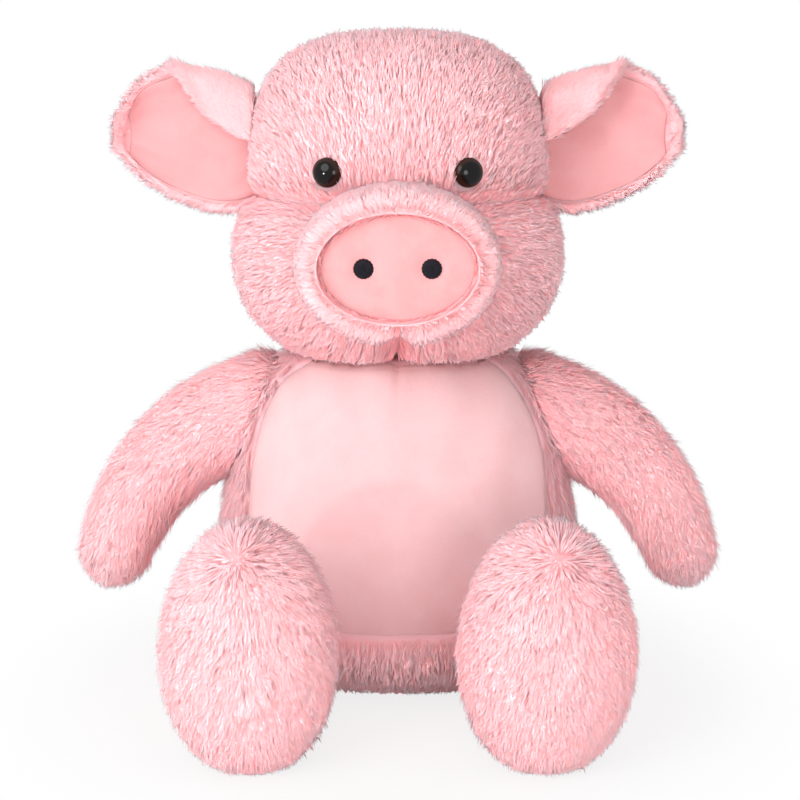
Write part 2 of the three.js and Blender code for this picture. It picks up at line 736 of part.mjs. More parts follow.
function headStuffing() {
  const core = joined(headForm(-PILE - FIT), snoutOval(MUZZLE_BACK, SNOUT_BACK + FIT, 0));
  const sides = [EYE_IN_FILLING, earRoot(SWING_GAP)];
  return cut(core, neckFilling(SWING_GAP), ...sides, ...sides.map(mirrored));
}

// Arms

const ARM_TIP = SHOULDER.clone().add(at(ARM_REACH, -ARM_FORWARD, -ARM_DROP));
const ARM_OUTWARD = at(ARM_DROP, 0, ARM_REACH).normalize();
const ARM_KNEE = SHOULDER.clone().lerp(ARM_TIP, 1 / 2).addScaledVector(ARM_OUTWARD, 2 * ARM_BOW);
const ARM_LINE = new THREE.QuadraticBezierCurve3(SHOULDER, ARM_KNEE, ARM_TIP);

// The sausage of the arm along its bowed line, closed by a round tip.
function armForm(more) {
  const ringAt = (along, beyond, radius) => {
    const heading = ARM_LINE.getTangentAt(along);
    const centre = ARM_LINE.getPointAt(along).addScaledVector(heading, beyond);
    const ahead = AHEAD.clone().addScaledVector(heading, -AHEAD.dot(heading)).normalize();
    const side = ahead.clone().cross(heading);
    return ring(centre, side.multiplyScalar(radius), ahead.multiplyScalar(radius), 2, LIMB_AROUND_STEPS);
  };
  const shares = ARM_SHARES.map(([along, thick]) => new THREE.Vector2(along, thick));
  const thickness = new THREE.SplineCurve(shares);
  const rings = [];
  for (let k = 0; k <= ARM_LEVELS; k += 1) {
    const share = thickness.getPoint(k / ARM_LEVELS);
    rings.push(ringAt(share.x, 0, (share.y * ARM_THICK) / 2 + more));
  }
  const end = (thickness.getPoint(1).y * ARM_THICK) / 2 + more;
  for (let k = 1; k <= DOME_LEVELS; k += 1) {
    const angle = ((k / (DOME_LEVELS + 1 / 2)) * Math.PI) / 2;
    rings.push(ringAt(1, (ARM_TIP_SHARE * ARM_THICK + more) * Math.sin(angle), end * Math.cos(angle)));
  }
  return skin(rings);
}

// The round root, joined to what of the arm stays clear of the torso wherever the arm is turned.
function armOutside(more, clearance) {
  const torso = torsoForm(clearance);
  const turns = [ARM_LOWERS];
  for (let k = 0; k <= LIFT_STEPS; k += 1) {
    turns.push((-ARM_LIFTS * k) / LIFT_STEPS);
  }
  const kept = cut(armForm(more), ...turns.map((turn) => swung(torso, SHOULDER, AHEAD, turn)));
  return joined(shoulderRoot(more), kept);
}

function armCasing() {
  const mouth = bar(at(0, 0, SHOULDER.z), SHOULDER, ARM_MOUTH);
  return cut(armOutside(0, FIT), armOutside(-PILE, FIT + BACKING), mouth);
}

const armStuffing = () => armOutside(-PILE - FIT, FIT + BACKING + FIT);

// Legs

const FOOT = at(FOOT_SPACING / 2, -FOOT_FORWARD, FOOT_TALL / 2 - HEEL_FLAT);
const SOLE_SEAM = FOOT.y - FOOT_THICK / 2 + SOLE_BULGE;

// Everything on the toy's left side, below a level or in front of a depth.
const FAR = FOOT_FORWARD + FOOT_THICK;
const below = (level) => block(at(0, -FAR, -OVERRUN), at(FAR, FAR, level));
const inFrontOf = (depth) => block(at(0, -FAR, -OVERRUN), at(FAR, depth, FOOT_TALL + OVERRUN));

function footForm(more) {
  const form = facing(levelsOf(FOOT_SHARES, FOOT_LEVELS), {
    x: FOOT.x,
    z: FOOT.z,
    back: FOOT.y + FOOT_THICK / 2 + more,
    reach: FOOT_THICK + 2 * more,
    width: FOOT_WIDTH + 2 * more,
    tall: FOOT_TALL + 2 * more,
  });
  return cut(form, below(-more));
}

function legForm(more) {
  const heading = at(FOOT.x, FOOT.y, HIP.z).sub(HIP);
  const side = LEG_SHARES.map(([along, thick]) => {
    return [(thick * LEG_DIAMETER) / 2 + more, along * heading.length()];
  });
  const leg = turned([[0, 0], ...side, [0, heading.length()]], HIP, heading, ROOT_AROUND_STEPS);
  return joined(hipRoot(more), cut(leg, below(-more)), footForm(more));
}

function legCasing() {
  const mouth = bar(HIP, at(HIP.x, 0, HIP.z), HIP_MOUTH);
  return cut(legForm(0), legForm(-PILE), mouth, inFrontOf(SOLE_SEAM));
}

const footSole = () => cut(footForm(0), footForm(-PILE)).intersect(inFrontOf(SOLE_SEAM - FIT));
const legStuffing = () => legForm(-PILE - FIT);

// The tail: a stem straight back, then a curl that winds round an axis above the stem.
function tail() {
  const points = [TAIL_ROOT, TAIL_ROOT.clone().add(at(0, TAIL_STEM, 0))];
  for (let k = 1; k <= TAIL_STEPS; k += 1) {
    const angle = (k / TAIL_STEPS) * TAIL_TURNS * FULL_TURN;
    const side = (TAIL_CURL_DIAMETER / 2) * Math.sin(angle);
    const lift = (TAIL_CURL_DIAMETER / 2) * (1 - Math.cos(angle));
    points.push(TAIL_ROOT.clone().add(at(side, TAIL_STEM + (k / TAIL_STEPS) * TAIL_REACH, lift)));
  }
  const line = new THREE.CatmullRomCurve3(points, false, "centripetal");
  const { normals, binormals } = line.computeFrenetFrames(TAIL_STEPS);
  const rings = normals.map((normal, k) => {
    const along = k / TAIL_STEPS;
    const radius = (TAIL_THICK / 2) * (1 - (1 - TAIL_TIP_SHARE) * along);
    const binormal = binormals[k].clone().multiplyScalar(radius);
    const side = normal.clone().multiplyScalar(radius);
    return ring(line.getPointAt(along), side, binormal, 2, TAIL_AROUND_STEPS);
  });
  return joined(tailRoot(0), skin(rings));
}

// Assembly

// Pieces that move together, in a group whose origin is the pivot that they move about.
function assembly(pivot, parentPivot, pieces) {
  const group = new THREE.Group();
  group.position.copy(pivot).sub(parentPivot);
  for (const [name, body, material] of pieces) {
    const mesh = new THREE.Mesh(geometryOf(body, pivot), material.clone());
    mesh.name = name;
    group.add(mesh);
  }
  return group;
}

// The left assembly and its mirror image.
function bothSides(pivot, parentPivot, pieces) {
  const named = (side, shape) =>
    pieces.map(([name, body, material]) => [`${name}_${side}`, shape(body), material]);
  const other = at(-pivot.x, pivot.y, pivot.z);
  return [
    assembly(pivot, parentPivot, named("left", (body) => body)),
    assembly(other, parentPivot, named("right", mirrored)),
  ];
}

const FLOOR = at(0, 0, 0);
const toy = assembly(FLOOR, FLOOR, [
  ["body_casing", bodyCasing(), FUR],
  ["belly_panel", bellyPanel(), SMOOTH],
  ["body_stuffing", bodyStuffing(), FIBRE],
  ["seat_pellet_bag", pelletBag(0), CALICO],
]);

const head = assembly(NECK, FLOOR, [
  ["head_casing", headCasing(), FUR],
  ["muzzle_ring", muzzleRing(), FUR],
  ["snout_disc", snoutDisc(), SMOOTH],
  ["nostril_left", nostril(0), THREAD_BLACK],
  ["nostril_right", mirrored(nostril(0)), THREAD_BLACK],
  ["eye_left", eye(), EYE_BLACK],
  ["eye_right", mirrored(eye()), EYE_BLACK],
  ["eye_washer_left", eyeWasher(), WASHER_WHITE],
  ["eye_washer_right", mirrored(eyeWasher()), WASHER_WHITE],
  ["head_stuffing", headStuffing(), FIBRE],
]);

const ears = bothSides(EAR_ROOT, NECK, [
  ["ear_back", earBack(), FUR],
  ["ear_lining", earLining(), SMOOTH],
]);

const arms = bothSides(SHOULDER, FLOOR, [
  ["arm_casing", armCasing(), FUR],
  ["arm_stuffing", armStuffing(), FIBRE],
]);

const legs = bothSides(HIP, FLOOR, [
  ["leg_casing", legCasing(), FUR],
  ["foot_sole", footSole(), FUR],
  ["leg_stuffing", legStuffing(), FIBRE],
]);

head.add(...ears);
toy.add(head, ...arms, ...legs, assembly(TAIL_ROOT, FLOOR, [["tail", tail(), FUR]]));

// The floor under the middle of the outer box becomes the origin.
const middle = new THREE.Box3().setFromObject(toy).getCenter(new THREE.Vector3());
toy.position.set(-middle.x, -middle.y, 0);

export default toy;
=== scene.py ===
"""Plush pig, seated: fur, smooth plush, embroidery and glossy eyes on the fixed frame.

Metres, +Z up. The toy faces -Y, and its left side is +X. Every form is a row of level ovals,
a tube along a line or a sheet, worked out on a grid. Fur is locks rooted on those forms, each
a closed flat spindle.
"""

import json
import math

import bpy
import numpy as np
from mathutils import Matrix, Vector


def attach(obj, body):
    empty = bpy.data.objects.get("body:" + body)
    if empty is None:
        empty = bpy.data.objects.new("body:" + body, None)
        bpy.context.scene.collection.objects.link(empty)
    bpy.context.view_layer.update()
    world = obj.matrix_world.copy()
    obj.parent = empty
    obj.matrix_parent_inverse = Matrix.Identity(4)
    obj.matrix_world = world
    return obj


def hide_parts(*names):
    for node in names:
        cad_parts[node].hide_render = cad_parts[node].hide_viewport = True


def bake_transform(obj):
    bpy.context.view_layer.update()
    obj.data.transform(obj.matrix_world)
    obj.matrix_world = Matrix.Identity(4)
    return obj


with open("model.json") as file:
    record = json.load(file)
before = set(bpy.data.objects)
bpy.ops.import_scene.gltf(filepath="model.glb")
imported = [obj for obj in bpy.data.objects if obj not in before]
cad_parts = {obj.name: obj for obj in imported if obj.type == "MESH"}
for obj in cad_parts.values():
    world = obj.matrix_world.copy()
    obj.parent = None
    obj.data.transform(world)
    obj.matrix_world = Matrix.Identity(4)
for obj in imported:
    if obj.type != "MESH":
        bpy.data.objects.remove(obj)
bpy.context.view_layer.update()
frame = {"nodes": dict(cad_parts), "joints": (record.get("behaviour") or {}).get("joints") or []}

bl_info = {
    "name": "Plush Pig",
    "version": (1, 0, 0),
    "blender": (4, 5, 0),
    "location": "View3D > Sidebar > Plush Pig",
    "description": "Dresses a seated plush pig in fur, smooth plush, embroidery and glossy eyes",
    "category": "Add Mesh",
}

PIVOTS = {joint["name"]: np.array(joint["pos_m"], float) for joint in frame["joints"]}
NECK = PIVOTS["neck"]
AXIS_Y = NECK[1]
UP = np.array([0.0, 0.0, 1.0])
AHEAD = np.array([0.0, -1.0, 0.0])
ACROSS = np.array([1.0, 0.0, 0.0])
BAKE_UV = "OFBake"
SQUARENESS = 2.3  # of level sections: 2 is an ellipse
SIDES = ((1, "left"), (-1, "right"))
FLOOR_GAP = 0.0002  # no fur reaches lower than this above the floor
RING_ALONG = 0.56  # a lock's widest place, as a share of its length
RING_RAISED = 0.07  # how far it is raised there, as a share of its length
LOCKS_PER_CLUMP = 13
FIRMNESS = 0.3  # how much a lock's own sides count in its shading, where the surface counts 1
# How much locks differ: from and to a share of the usual, or the spread about it
LENGTHS = 0.72, 1.12
WIDTHS = 0.7, 1.3
PULLS = 0.3, 1.3  # towards the clump's middle
LIFT_SPREAD = 0.13
TINT_SPREAD = 0.19
# The most locks on one piece
MOST_LOCKS = {
    "body": 30500, "crown": 31000, "cheeks": 31000, "muzzle": 25000, "ear": 20000, "arm": 23000,
    "leg": 11000, "foot": 31500, "tail": 4000,
}

# Outlines, as shares of a form's sizes: height, width, depth of each level
TORSO_SHARES = [
    (0, 0.64, 0.68), (0.035, 0.765, 0.8), (0.11, 0.895, 0.915), (0.24, 0.985, 0.985), (0.4, 1, 1),
    (0.6, 0.945, 0.955), (0.78, 0.86, 0.87), (0.9, 0.75, 0.78), (0.975, 0.62, 0.68), (1, 0.53, 0.6),
]
CHEEKS_SHARES = [
    (0, 0.53, 0.54), (0.03, 0.65, 0.66), (0.15, 0.81, 0.83), (0.31, 0.93, 0.94), (0.52, 0.995, 1),
    (0.74, 0.99, 0.99), (0.9, 0.945, 0.955), (1, 0.875, 0.895),
]
CROWN_SHARES = [
    (0, 0.955, 0.955), (0.12, 0.995, 1), (0.35, 0.985, 0.985), (0.6, 0.935, 0.935),
    (0.78, 0.83, 0.825), (0.9, 0.66, 0.65), (0.97, 0.46, 0.45), (1, 0.24, 0.24),
]
# Reach, width, tall of forms that face the front
MUZZLE_SHARES = [
    (0, 0.94, 0.94), (0.45, 0.98, 0.98), (0.7, 1, 1), (0.85, 0.985, 0.975), (0.95, 0.93, 0.91),
    (1, 0.84, 0.76),
]
FOOT_SHARES = [
    (0, 0.3, 0.3), (0.07, 0.57, 0.58), (0.2, 0.82, 0.84), (0.36, 0.97, 0.98), (0.5, 1, 1),
    (0.64, 0.97, 0.98), (0.8, 0.82, 0.84), (0.93, 0.57, 0.58), (1, 0.3, 0.3),
]
# Half of the belly panel: height above its lower seam, half width
BELLY_SHARES = [
    (0, 0), (0.015, 0.42), (0.1, 0.78), (0.27, 0.97), (0.5, 1), (0.78, 0.93), (0.93, 0.77),
    (1, 0.62),
]
# Distance along, thickness
ARM_SHARES = [(0, 1.28), (0.3, 1.22), (0.6, 1.08), (0.85, 0.96), (1, 0.86)]
LEG_SHARES = [(0, 0.98), (0.3, 0.95), (0.6, 0.99), (0.8, 1.1), (1, 1.2)]
# Ear, from root to tip: reach below and above the root's middle, length of the flap, curl
EAR_DOWN_SHARES = [0.335, 0.385, 0.385, 0.34, 0.27, 0.165, 0]
EAR_UP_SHARES = [0.285, 0.355, 0.405, 0.44, 0.52, 0.49, 0.26]
EAR_FLAP_SHARES = [1, 0.85, 0.55, 0.2, 0, 0, 0]
EAR_CURL_SHARES = [1, 1, 1, 0.7, 0.15, 0, 0]


# Properties that a user would change


def length(name, description, default):
    """A length in metres."""
    return bpy.props.FloatProperty(
        name=name, description=description, default=default, min=0, precision=4, unit="LENGTH"
    )


def share(name, description, default, high=1.0):
    """A share, from 0 to high."""
    return bpy.props.FloatProperty(
        name=name, description=description, default=default, min=0, max=high, subtype="FACTOR"
    )


def angle(name, description, degrees):
    """An angle, shown in degrees."""
    return bpy.props.FloatProperty(
        name=name, description=description, default=math.radians(degrees), unit="ROTATION"
    )


def colour(name, description, default):
    """A linear colour."""
    return bpy.props.FloatVectorProperty(
        name=name, description=description, default=default, size=3, min=0, max=1, subtype="COLOR"
    )


def power(name, default):
    """A light's power."""
    return bpy.props.FloatProperty(
        name=name, description="Power in watts", default=default, min=0
    )


class PigBodySettings(bpy.types.PropertyGroup):
    """Sizes of the torso and of its belly panel."""

    width: length("Width", "Across the torso", 0.162)
    depth: length("Depth", "From the torso's front to its back", 0.124)
    height: length("Height", "From the floor to the neck", 0.146)
    belly_width: length("Belly width", "Widest part of the belly panel", 0.130)
    belly_seam: length("Belly seam", "Height of the belly panel's lower seam", 0.031)
    belly_drop: length("Belly top", "From the neck down to the belly panel's upper seam", 0.0010)
    belly_recess: length("Belly recess", "Depth of the belly panel below the fur's tips", 0.0025)
    belly_swell: length("Belly swell", "How far the filling pushes the belly panel out", 0.0022)


class PigHeadSettings(bpy.types.PropertyGroup):
    """Sizes of the head, muzzle, snout and eyes."""

    forward: length("Forward", "The head's middle, in front of the neck's axis", 0.008)
    gap: length("Gap", "From the torso up to the head's underside", 0.0004)
    cheeks_width: length("Cheeks width", "Across the cheeks", 0.143)
    cheeks_depth: length("Cheeks depth", "From the cheeks' front to the back of the head", 0.122)
    cheeks_height: length("Cheeks height", "From the chin to the brow seam", 0.067)
    crown_width: length("Crown width", "Across the crown", 0.128)
    crown_depth: length("Crown depth", "From the forehead to the back of the crown", 0.116)
    crown_height: length("Crown height", "From the brow seam to the top", 0.069)
    brow_tuck: length("Brow tuck", "How far the crown's edge is tucked below the brow seam", 0.003)
    muzzle_width: length("Muzzle width", "Across the muzzle", 0.079)
    muzzle_tall: length("Muzzle height", "From the muzzle's underside to its top", 0.062)
    muzzle_reach: length("Muzzle reach", "In front of the cheeks", 0.030)
    muzzle_root: length("Muzzle root", "How far the muzzle runs back into the head", 0.030)
    muzzle_rise: length("Muzzle rise", "The muzzle's middle, above the chin", 0.046)
    snout_width: length("Snout width", "Across the snout disc", 0.061)
    snout_tall: length("Snout height", "From the disc's underside to its top", 0.041)
    snout_inset: length("Snout inset", "The disc's crown, behind the muzzle's front", 0.002)
    snout_crown: length("Snout crown", "How far the disc bulges", 0.004)
    nostril: length("Nostril", "Diameter of each embroidered nostril", 0.0078)
    nostril_spacing: length("Nostril spacing", "Between the nostrils' middles", 0.026)
    eye: length("Eye", "Diameter of each eye", 0.012)
    eye_dome: length("Eye dome", "From the eye's seat to the top of its dome", 0.005)
    eye_spacing: length("Eye spacing", "Between the eyes' middles", 0.057)
    eye_rise: length("Eye rise", "Above the brow seam", 0.013)
    eye_sink: length("Eye sink", "The eye's seat, below the fur's tips", 0.0026)


class PigEarSettings(bpy.types.PropertyGroup):
    """Sizes of each ear."""

    reach: length("Length", "From the root to the tip", 0.056)
    tall: length("Height", "Across the ear where it is widest", 0.058)
    fur: length("Fur", "Thickness of the furry back", 0.005)
    fold: length("Fold", "Radius of the folded upper edge", 0.006)
    flap: length("Flap", "Straight part of the fold at the root", 0.014)
    cup: length("Cup", "How far the rim curves forward", 0.008)
    inset: length("Lining inset", "From the rim to the lining's edge", 0.0018)


class PigLimbSettings(bpy.types.PropertyGroup):
    """Sizes of the arms, legs, feet and tail."""

    arm_reach: length("Arm reach", "Sideways, from the shoulder to the tip", 0.067)
    arm_drop: length("Arm drop", "Down, from the shoulder to the tip", 0.060)
    arm_forward: length("Arm forward", "Forward, from the shoulder to the tip", 0.014)
    arm_bow: length("Arm bow", "How far the arm bows outwards", 0.012)
    arm_thick: length("Arm thickness", "Across the arm", 0.036)
    leg_thick: length("Leg thickness", "Across the leg", 0.052)
    foot_spacing: length("Foot spacing", "Between the feet's middles", 0.115)
    foot_width: length("Foot width", "Across each foot", 0.068)
    foot_tall: length("Foot height", "From the heel to the toes", 0.100)
    foot_thick: length("Foot thickness", "From the sole to the foot's back", 0.050)
    foot_forward: length("Foot forward", "The feet's middle, in front of the torso's axis", 0.117)
    heel_flat: length("Heel flat", "How far the heel is pressed flat", 0.0015)
    tail_thick: length("Tail thickness", "Across the tail at its root", 0.0075)
    tail_curl: length("Tail curl", "Diameter of the tail's curl", 0.015)
    tail_stem: length("Tail stem", "Straight part of the tail", 0.011)
    tail_reach: length("Tail reach", "Of the curl, past the stem", 0.016)


class PigFurSettings(bpy.types.PropertyGroup):
    """How the fur looks, and its colours."""

    backing: length("Backing depth", "The fur's backing, below the form's surface", 0.0020)
    pile: length("Pile", "Length of each lock of fur", 0.0068)
    lock: length("Lock width", "Half the width of each lock where it is widest", 0.00027)
    lift: angle("Lift", "Angle between a lock and the fabric that it stands on", 16)
    spread: angle("Spread", "How far locks stray from the way that the fur lies", 16)
    clump: share("Clumping", "How far the tips of neighbouring locks draw together", 0.18)
    # The root colour is painted shade: the deeper coral that shade gives deep in the pile.
    root: colour("Root", "Colour deep in the fur", (1.0, 0.44, 0.46))
    body: colour("Body", "Colour of the fur's middle", (1.0, 0.53, 0.56))
    tip: colour("Tip", "Colour of the fur's tips", (1.0, 0.66, 0.70))


class PigPlushSettings(bpy.types.PropertyGroup):
    """Colours of the smooth plush, the thread and the eyes."""

    belly: colour("Belly", "Colour of the belly panel", (0.90, 0.55, 0.56))
    snout: colour("Snout", "Colour of the snout disc", (0.88, 0.38, 0.385))
    lining: colour("Ear lining", "Colour of the ears' lining", (0.90, 0.415, 0.425))
    # Colour of dark seams and of the painted shade in folds and recesses.
    crease: colour("Crease", "Colour in seams and folds", (0.90, 0.40, 0.41))
    thread: colour("Thread", "Colour of the nostrils' thread", (0.006, 0.005, 0.009))
    pupil: colour("Eye", "Colour of the eyes' dome", (0.004, 0.003, 0.003))
    iris: colour("Eye rim", "Colour of the eyes' rim", (0.030, 0.010, 0.006))


class PigStageSettings(bpy.types.PropertyGroup):
    """Camera and light."""

    elevation: angle("Camera elevation", "Above the horizon", 11.83)
    distance: length("Camera distance", "From the point that the camera looks at", 0.700)
    lens: bpy.props.FloatProperty(
        name="Lens", description="Focal length in mm", default=73.3, min=1
    )
    key: power("Key light", 8.0)
    fill: power("Fill light", 3.9)
    catch: power("Catch light", 1.6)
    world: share("World", "Strength of the light from all round", 0.68, 2.0)


SETTINGS = {
    "pig_body": PigBodySettings,
    "pig_head": PigHeadSettings,
    "pig_ear": PigEarSettings,
    "pig_limb": PigLimbSettings,
    "pig_fur": PigFurSettings,
    "pig_plush": PigPlushSettings,
    "pig_stage": PigStageSettings,
}


def settings(name):
    """The scene's settings of one group."""
    return getattr(bpy.context.scene, name)


# Shader expressions


class Socket:
    """A node's output that takes part in Python arithmetic."""

    def __init__(self, graph, socket):
        self.graph = graph
        self.socket = socket

    def __add__(self, other):
        return self.graph.maths("ADD", self, other)

    def __sub__(self, other):
        return self.graph.maths("SUBTRACT", self, other)

    def __rsub__(self, other):
        return self.graph.maths("SUBTRACT", other, self)

    def __mul__(self, other):
        return self.graph.maths("MULTIPLY", self, other)

    __radd__ = __add__
    __rmul__ = __mul__


class Graph:
    """The node tree of a material or a world."""

    def __init__(self, tree):
        self.tree = tree
        tree.nodes.clear()

    def node(self, kind, settings=None, inputs=None, output=0):
        """A node of a type, with its settings made first, then its sockets' values or links."""
        made = self.tree.nodes.new(kind)
        for name, value in (settings or {}).items():
            setattr(made, name, value)
        for key, value in (inputs or {}).items():
            self.put(made.inputs[key], value)
        return Socket(self, made.outputs[output]) if made.outputs else made

    def put(self, socket, value):
        """A value or a link into a socket."""
        if isinstance(value, Socket):
            self.tree.links.new(value.socket, socket)
        else:
            socket.default_value = value

    def maths(self, operation, first, second):
        """A Math node on two values."""
        return self.node("ShaderNodeMath", {"operation": operation}, {0: first, 1: second})

    def step(self, value, low, high):
        """0 where a value is below low, 1 above high, and smooth between them."""
        made = {"Value": value, "From Min": low, "From Max": high}
        return self.node("ShaderNodeMapRange", {"interpolation_type": "SMOOTHSTEP"}, made)

    def mix(self, factor, first, second, blend="MIX"):
        """Two colours mixed by a factor."""
        made = self.tree.nodes.new("ShaderNodeMix")
        made.data_type = "RGBA"
        made.blend_type = blend
        for index, value in ((0, factor), (6, first), (7, second)):
            self.put(made.inputs[index], value)
        return Socket(self, made.outputs[2])

    def noise(self, place, scale, detail=2.0, roughness=0.5):
        """A noise value about 0.5 at a place."""
        made = {"Vector": place, "Scale": scale, "Detail": detail, "Roughness": roughness}
        return self.node("ShaderNodeTexNoise", None, made)

    def place(self):
        """Where a point lies on its object."""
        return self.node("ShaderNodeTexCoord", output="Object")

    def baked(self, axis):
        """The X or the Y of the UV map that the pieces share."""
        place = self.node("ShaderNodeUVMap", {"uv_map": BAKE_UV})
        return self.node("ShaderNodeSeparateXYZ", None, {"Vector": place}, axis)

    def bump(self, height, strength, distance):
        """Normals of a surface that a height raises by up to a distance."""
        made = {"Strength": strength, "Distance": distance, "Height": height}
        return self.node("ShaderNodeBump", None, made)

    def seen(self):
        """1 or more for rays from the camera, in reflections and through glass, 0 for others."""
        kinds = ("Is Camera Ray", "Is Glossy Ray", "Is Transmission Ray")
        first, second, third = (self.node("ShaderNodeLightPath", output=kind) for kind in kinds)
        return first + second + third

    def surface(self, shader):
        """Joins a shader to the material's output."""
        self.node("ShaderNodeOutputMaterial", None, {"Surface": shader})


def rgba(value, shade=1.0):
    """A colour with its opacity, made lighter or darker by a shade."""
    return (*(min(1.0, channel * shade) for channel in value), 1.0)


def new_material(name):
    """An empty material and its graph."""
    material = bpy.data.materials.new(name)
    material.use_nodes = True
    return material, Graph(material.node_tree)


def fur_material():
    """Fur: its colour runs from a deep root to a pale tip along v, and u makes it paler.

    The UV map holds each lock's tint in u and the distance along the lock in v, so that the
    colour is root at v 0, body at v 0.45 and tip at v 1, each lighter where u is high. The root
    colour is painted shade deep in the pile; a low u, painted shade in creases, deepens the colour
    and a high u, partly painted light where the fur lies in shade, makes it paler.
    """
    fur = settings("pig_fur")
    material, graph = new_material("pink_fur")
    u, v = graph.baked("X"), graph.baked("Y")
    low = graph.mix(graph.step(v, 0.0, 0.45), rgba(fur.root), rgba(fur.body))
    pile = graph.mix(graph.step(v, 0.25, 0.95), low, rgba(fur.tip))
    # Low u deepens the colour towards the root's for painted shade in creases; high u makes it
    # paler, partly painted light.
    deep = graph.mix(0.5, pile, rgba(fur.root), "MULTIPLY")
    tinted_and_shaded = graph.mix(graph.step(u, 0.0, 0.55), deep, pile)
    pale = graph.mix(0.16, pile, rgba((1.0, 0.82, 0.84)))
    base = graph.mix(graph.step(u, 0.5, 1.0), tinted_and_shaded, pale)
    shader = graph.node(
        "ShaderNodeBsdfPrincipled",
        {"subsurface_method": "BURLEY"},
        {
            "Base Color": base,
            "Roughness": 0.72 + (1 - v) * 0.2,
            "Subsurface Weight": 1.0,
            "Subsurface Radius": (1.0, 0.45, 0.42),
            "Subsurface Scale": 0.0024,
            "Sheen Weight": 0.15,
            "Sheen Roughness": 0.55,
            "Sheen Tint": rgba((1.0, 0.74, 0.77)),
            "Specular IOR Level": 0.1,
        },
    )
    graph.surface(shader)
    return material


def plush_material(name, tone, nap=1.0):
    """Smooth short plush: a fine grain of fibres, soft patches of nap, dark seams and painted shade
    in creases.

    The colour is the tone, lighter and darker by broad noise that stands for the nap, speckled
    by fine noise, and it goes to the seam and shade colour where that attribute rises to 1, for
    dark stitched seams and painted shade in folds and recesses.
    """
    plush = settings("pig_plush")
    material, graph = new_material(name)
    place = graph.place()
    fine = graph.noise(place, 2600.0, 2.0, 0.6)
    grain = graph.noise(place, 900.0, 3.0, 0.6)
    broad = graph.noise(place, 55.0 * nap, 4.0, 0.6)
    # This attribute marks dark seams and painted shade in folds and recesses.
    crease = graph.node("ShaderNodeAttribute", {"attribute_name": "crease"}, None, "Fac")
    dark = graph.mix(1.0, rgba(tone), rgba((0.985, 0.965, 0.965)), "MULTIPLY")
    light = graph.mix(0.06, rgba(tone), rgba((1.0, 0.86, 0.84)))
    patched = graph.mix(graph.step(broad, 0.38, 0.62), dark, light)
    speck = graph.mix(graph.step(fine, 0.3, 0.75) * 0.35, patched, rgba(tone, 1.18))
    folded = graph.mix(graph.step(crease, 0.0, 1.0), speck, rgba(plush.crease))
    bump = graph.bump(fine * 0.5 + grain * 0.5, 0.35, 0.0006)
    shader = graph.node(
        "ShaderNodeBsdfPrincipled",
        None,
        {
            "Base Color": folded,
            "Roughness": 0.74 + broad * 0.2,
            "Normal": bump,
            "Sheen Weight": 0.35,
            "Sheen Roughness": 0.4,
            "Sheen Tint": rgba((1.0, 0.82, 0.80)),
            "Specular IOR Level": 0.2,
        },
    )
    graph.surface(shader)
    return material


def thread_material():
    """Black satin thread: soft gloss with lighter specks where fibres catch the light."""
    plush = settings("pig_plush")
    material, graph = new_material("black_thread")
    place = graph.place()
    grain = graph.noise(place, 2400.0, 3.0, 0.7)
    pale = rgba((0.030, 0.028, 0.040))
    values = {
        "Base Color": graph.mix(graph.step(grain, 0.45, 0.8), rgba(plush.thread), pale),
        "Roughness": 0.55 + grain * 0.2,
        "Normal": graph.bump(grain, 0.4, 0.0003),
        "Specular IOR Level": 0.2,
    }
    graph.surface(graph.node("ShaderNodeBsdfPrincipled", None, values))
    return material


def eye_material():
    """Moulded glossy eye: black dome with a dark brown rim, by the distance v from its middle."""
    plush = settings("pig_plush")
    material, graph = new_material("glossy_eye")
    cloud = graph.noise(graph.place(), 300.0, 2.0, 0.5)
    rim = graph.step(graph.baked("Y") + (cloud - 0.5) * 0.04, 0.66, 0.8)
    base = graph.mix(rim, rgba(plush.pupil), rgba(plush.iris))
    values = {"Base Color": base, "Roughness": 0.03 + rim * 0.05, "Specular IOR Level": 0.22}
    graph.surface(graph.node("ShaderNodeBsdfPrincipled", None, values))
    return material


def inner_material(name, tone, scale, roughness):
    """A plain material of what is inside: its tone, clouded by noise."""
    material, graph = new_material(name)
    place = graph.place()
    cloud = graph.noise(place, scale, 3.0, 0.6)
    base = graph.mix(graph.step(cloud, 0.3, 0.7), rgba(tone, 0.86), rgba(tone, 1.04))
    bump = graph.bump(cloud, 0.5, 0.001)
    values = {"Base Color": base, "Roughness": roughness + cloud * 0.1, "Normal": bump}
    graph.surface(graph.node("ShaderNodeBsdfPrincipled", None, values))
    return material


MADE = {}


def made_material(name, maker, *values):
    """A material that several pieces share, made once."""
    if name not in MADE:
        MADE[name] = maker(*values)
    return MADE[name]


# Curves and forms


def smooth_line(points, fineness=24):
    """Points on the centripetal Catmull-Rom curve through the points given.

    Each stretch is a cubic whose end slopes come from its neighbours, with knots spaced by the
    square root of the distance between points. The first and last points are reflected to
    give the end stretches a neighbour.
    """
    points = np.asarray(points, float)
    ends = (2 * points[0] - points[1], 2 * points[-1] - points[-2])
    padded = np.vstack([ends[0], points, ends[1]])
    a, b, c, d = padded[:-3, None], padded[1:-2, None], padded[2:-1, None], padded[3:, None]
    gap = np.maximum(np.linalg.norm(np.diff(padded, axis=0), axis=1) ** 0.5, 1e-6)
    p, q, r = gap[:-2, None, None], gap[1:-1, None, None], gap[2:, None, None]
    leave = q * ((b - a) / p - (c - a) / (p + q) + (c - b) / q)
    arrive = q * ((c - b) / q - (d - b) / (q + r) + (d - c) / r)
    t = (np.arange(fineness) / fineness)[None, :, None]
    cubic = (2 * b - 2 * c + leave + arrive) * t**3 + (3 * c - 3 * b - 2 * leave - arrive) * t**2
    line = (cubic + leave * t + b).reshape(-1, points.shape[1])
    return np.vstack([line, points[-1]])


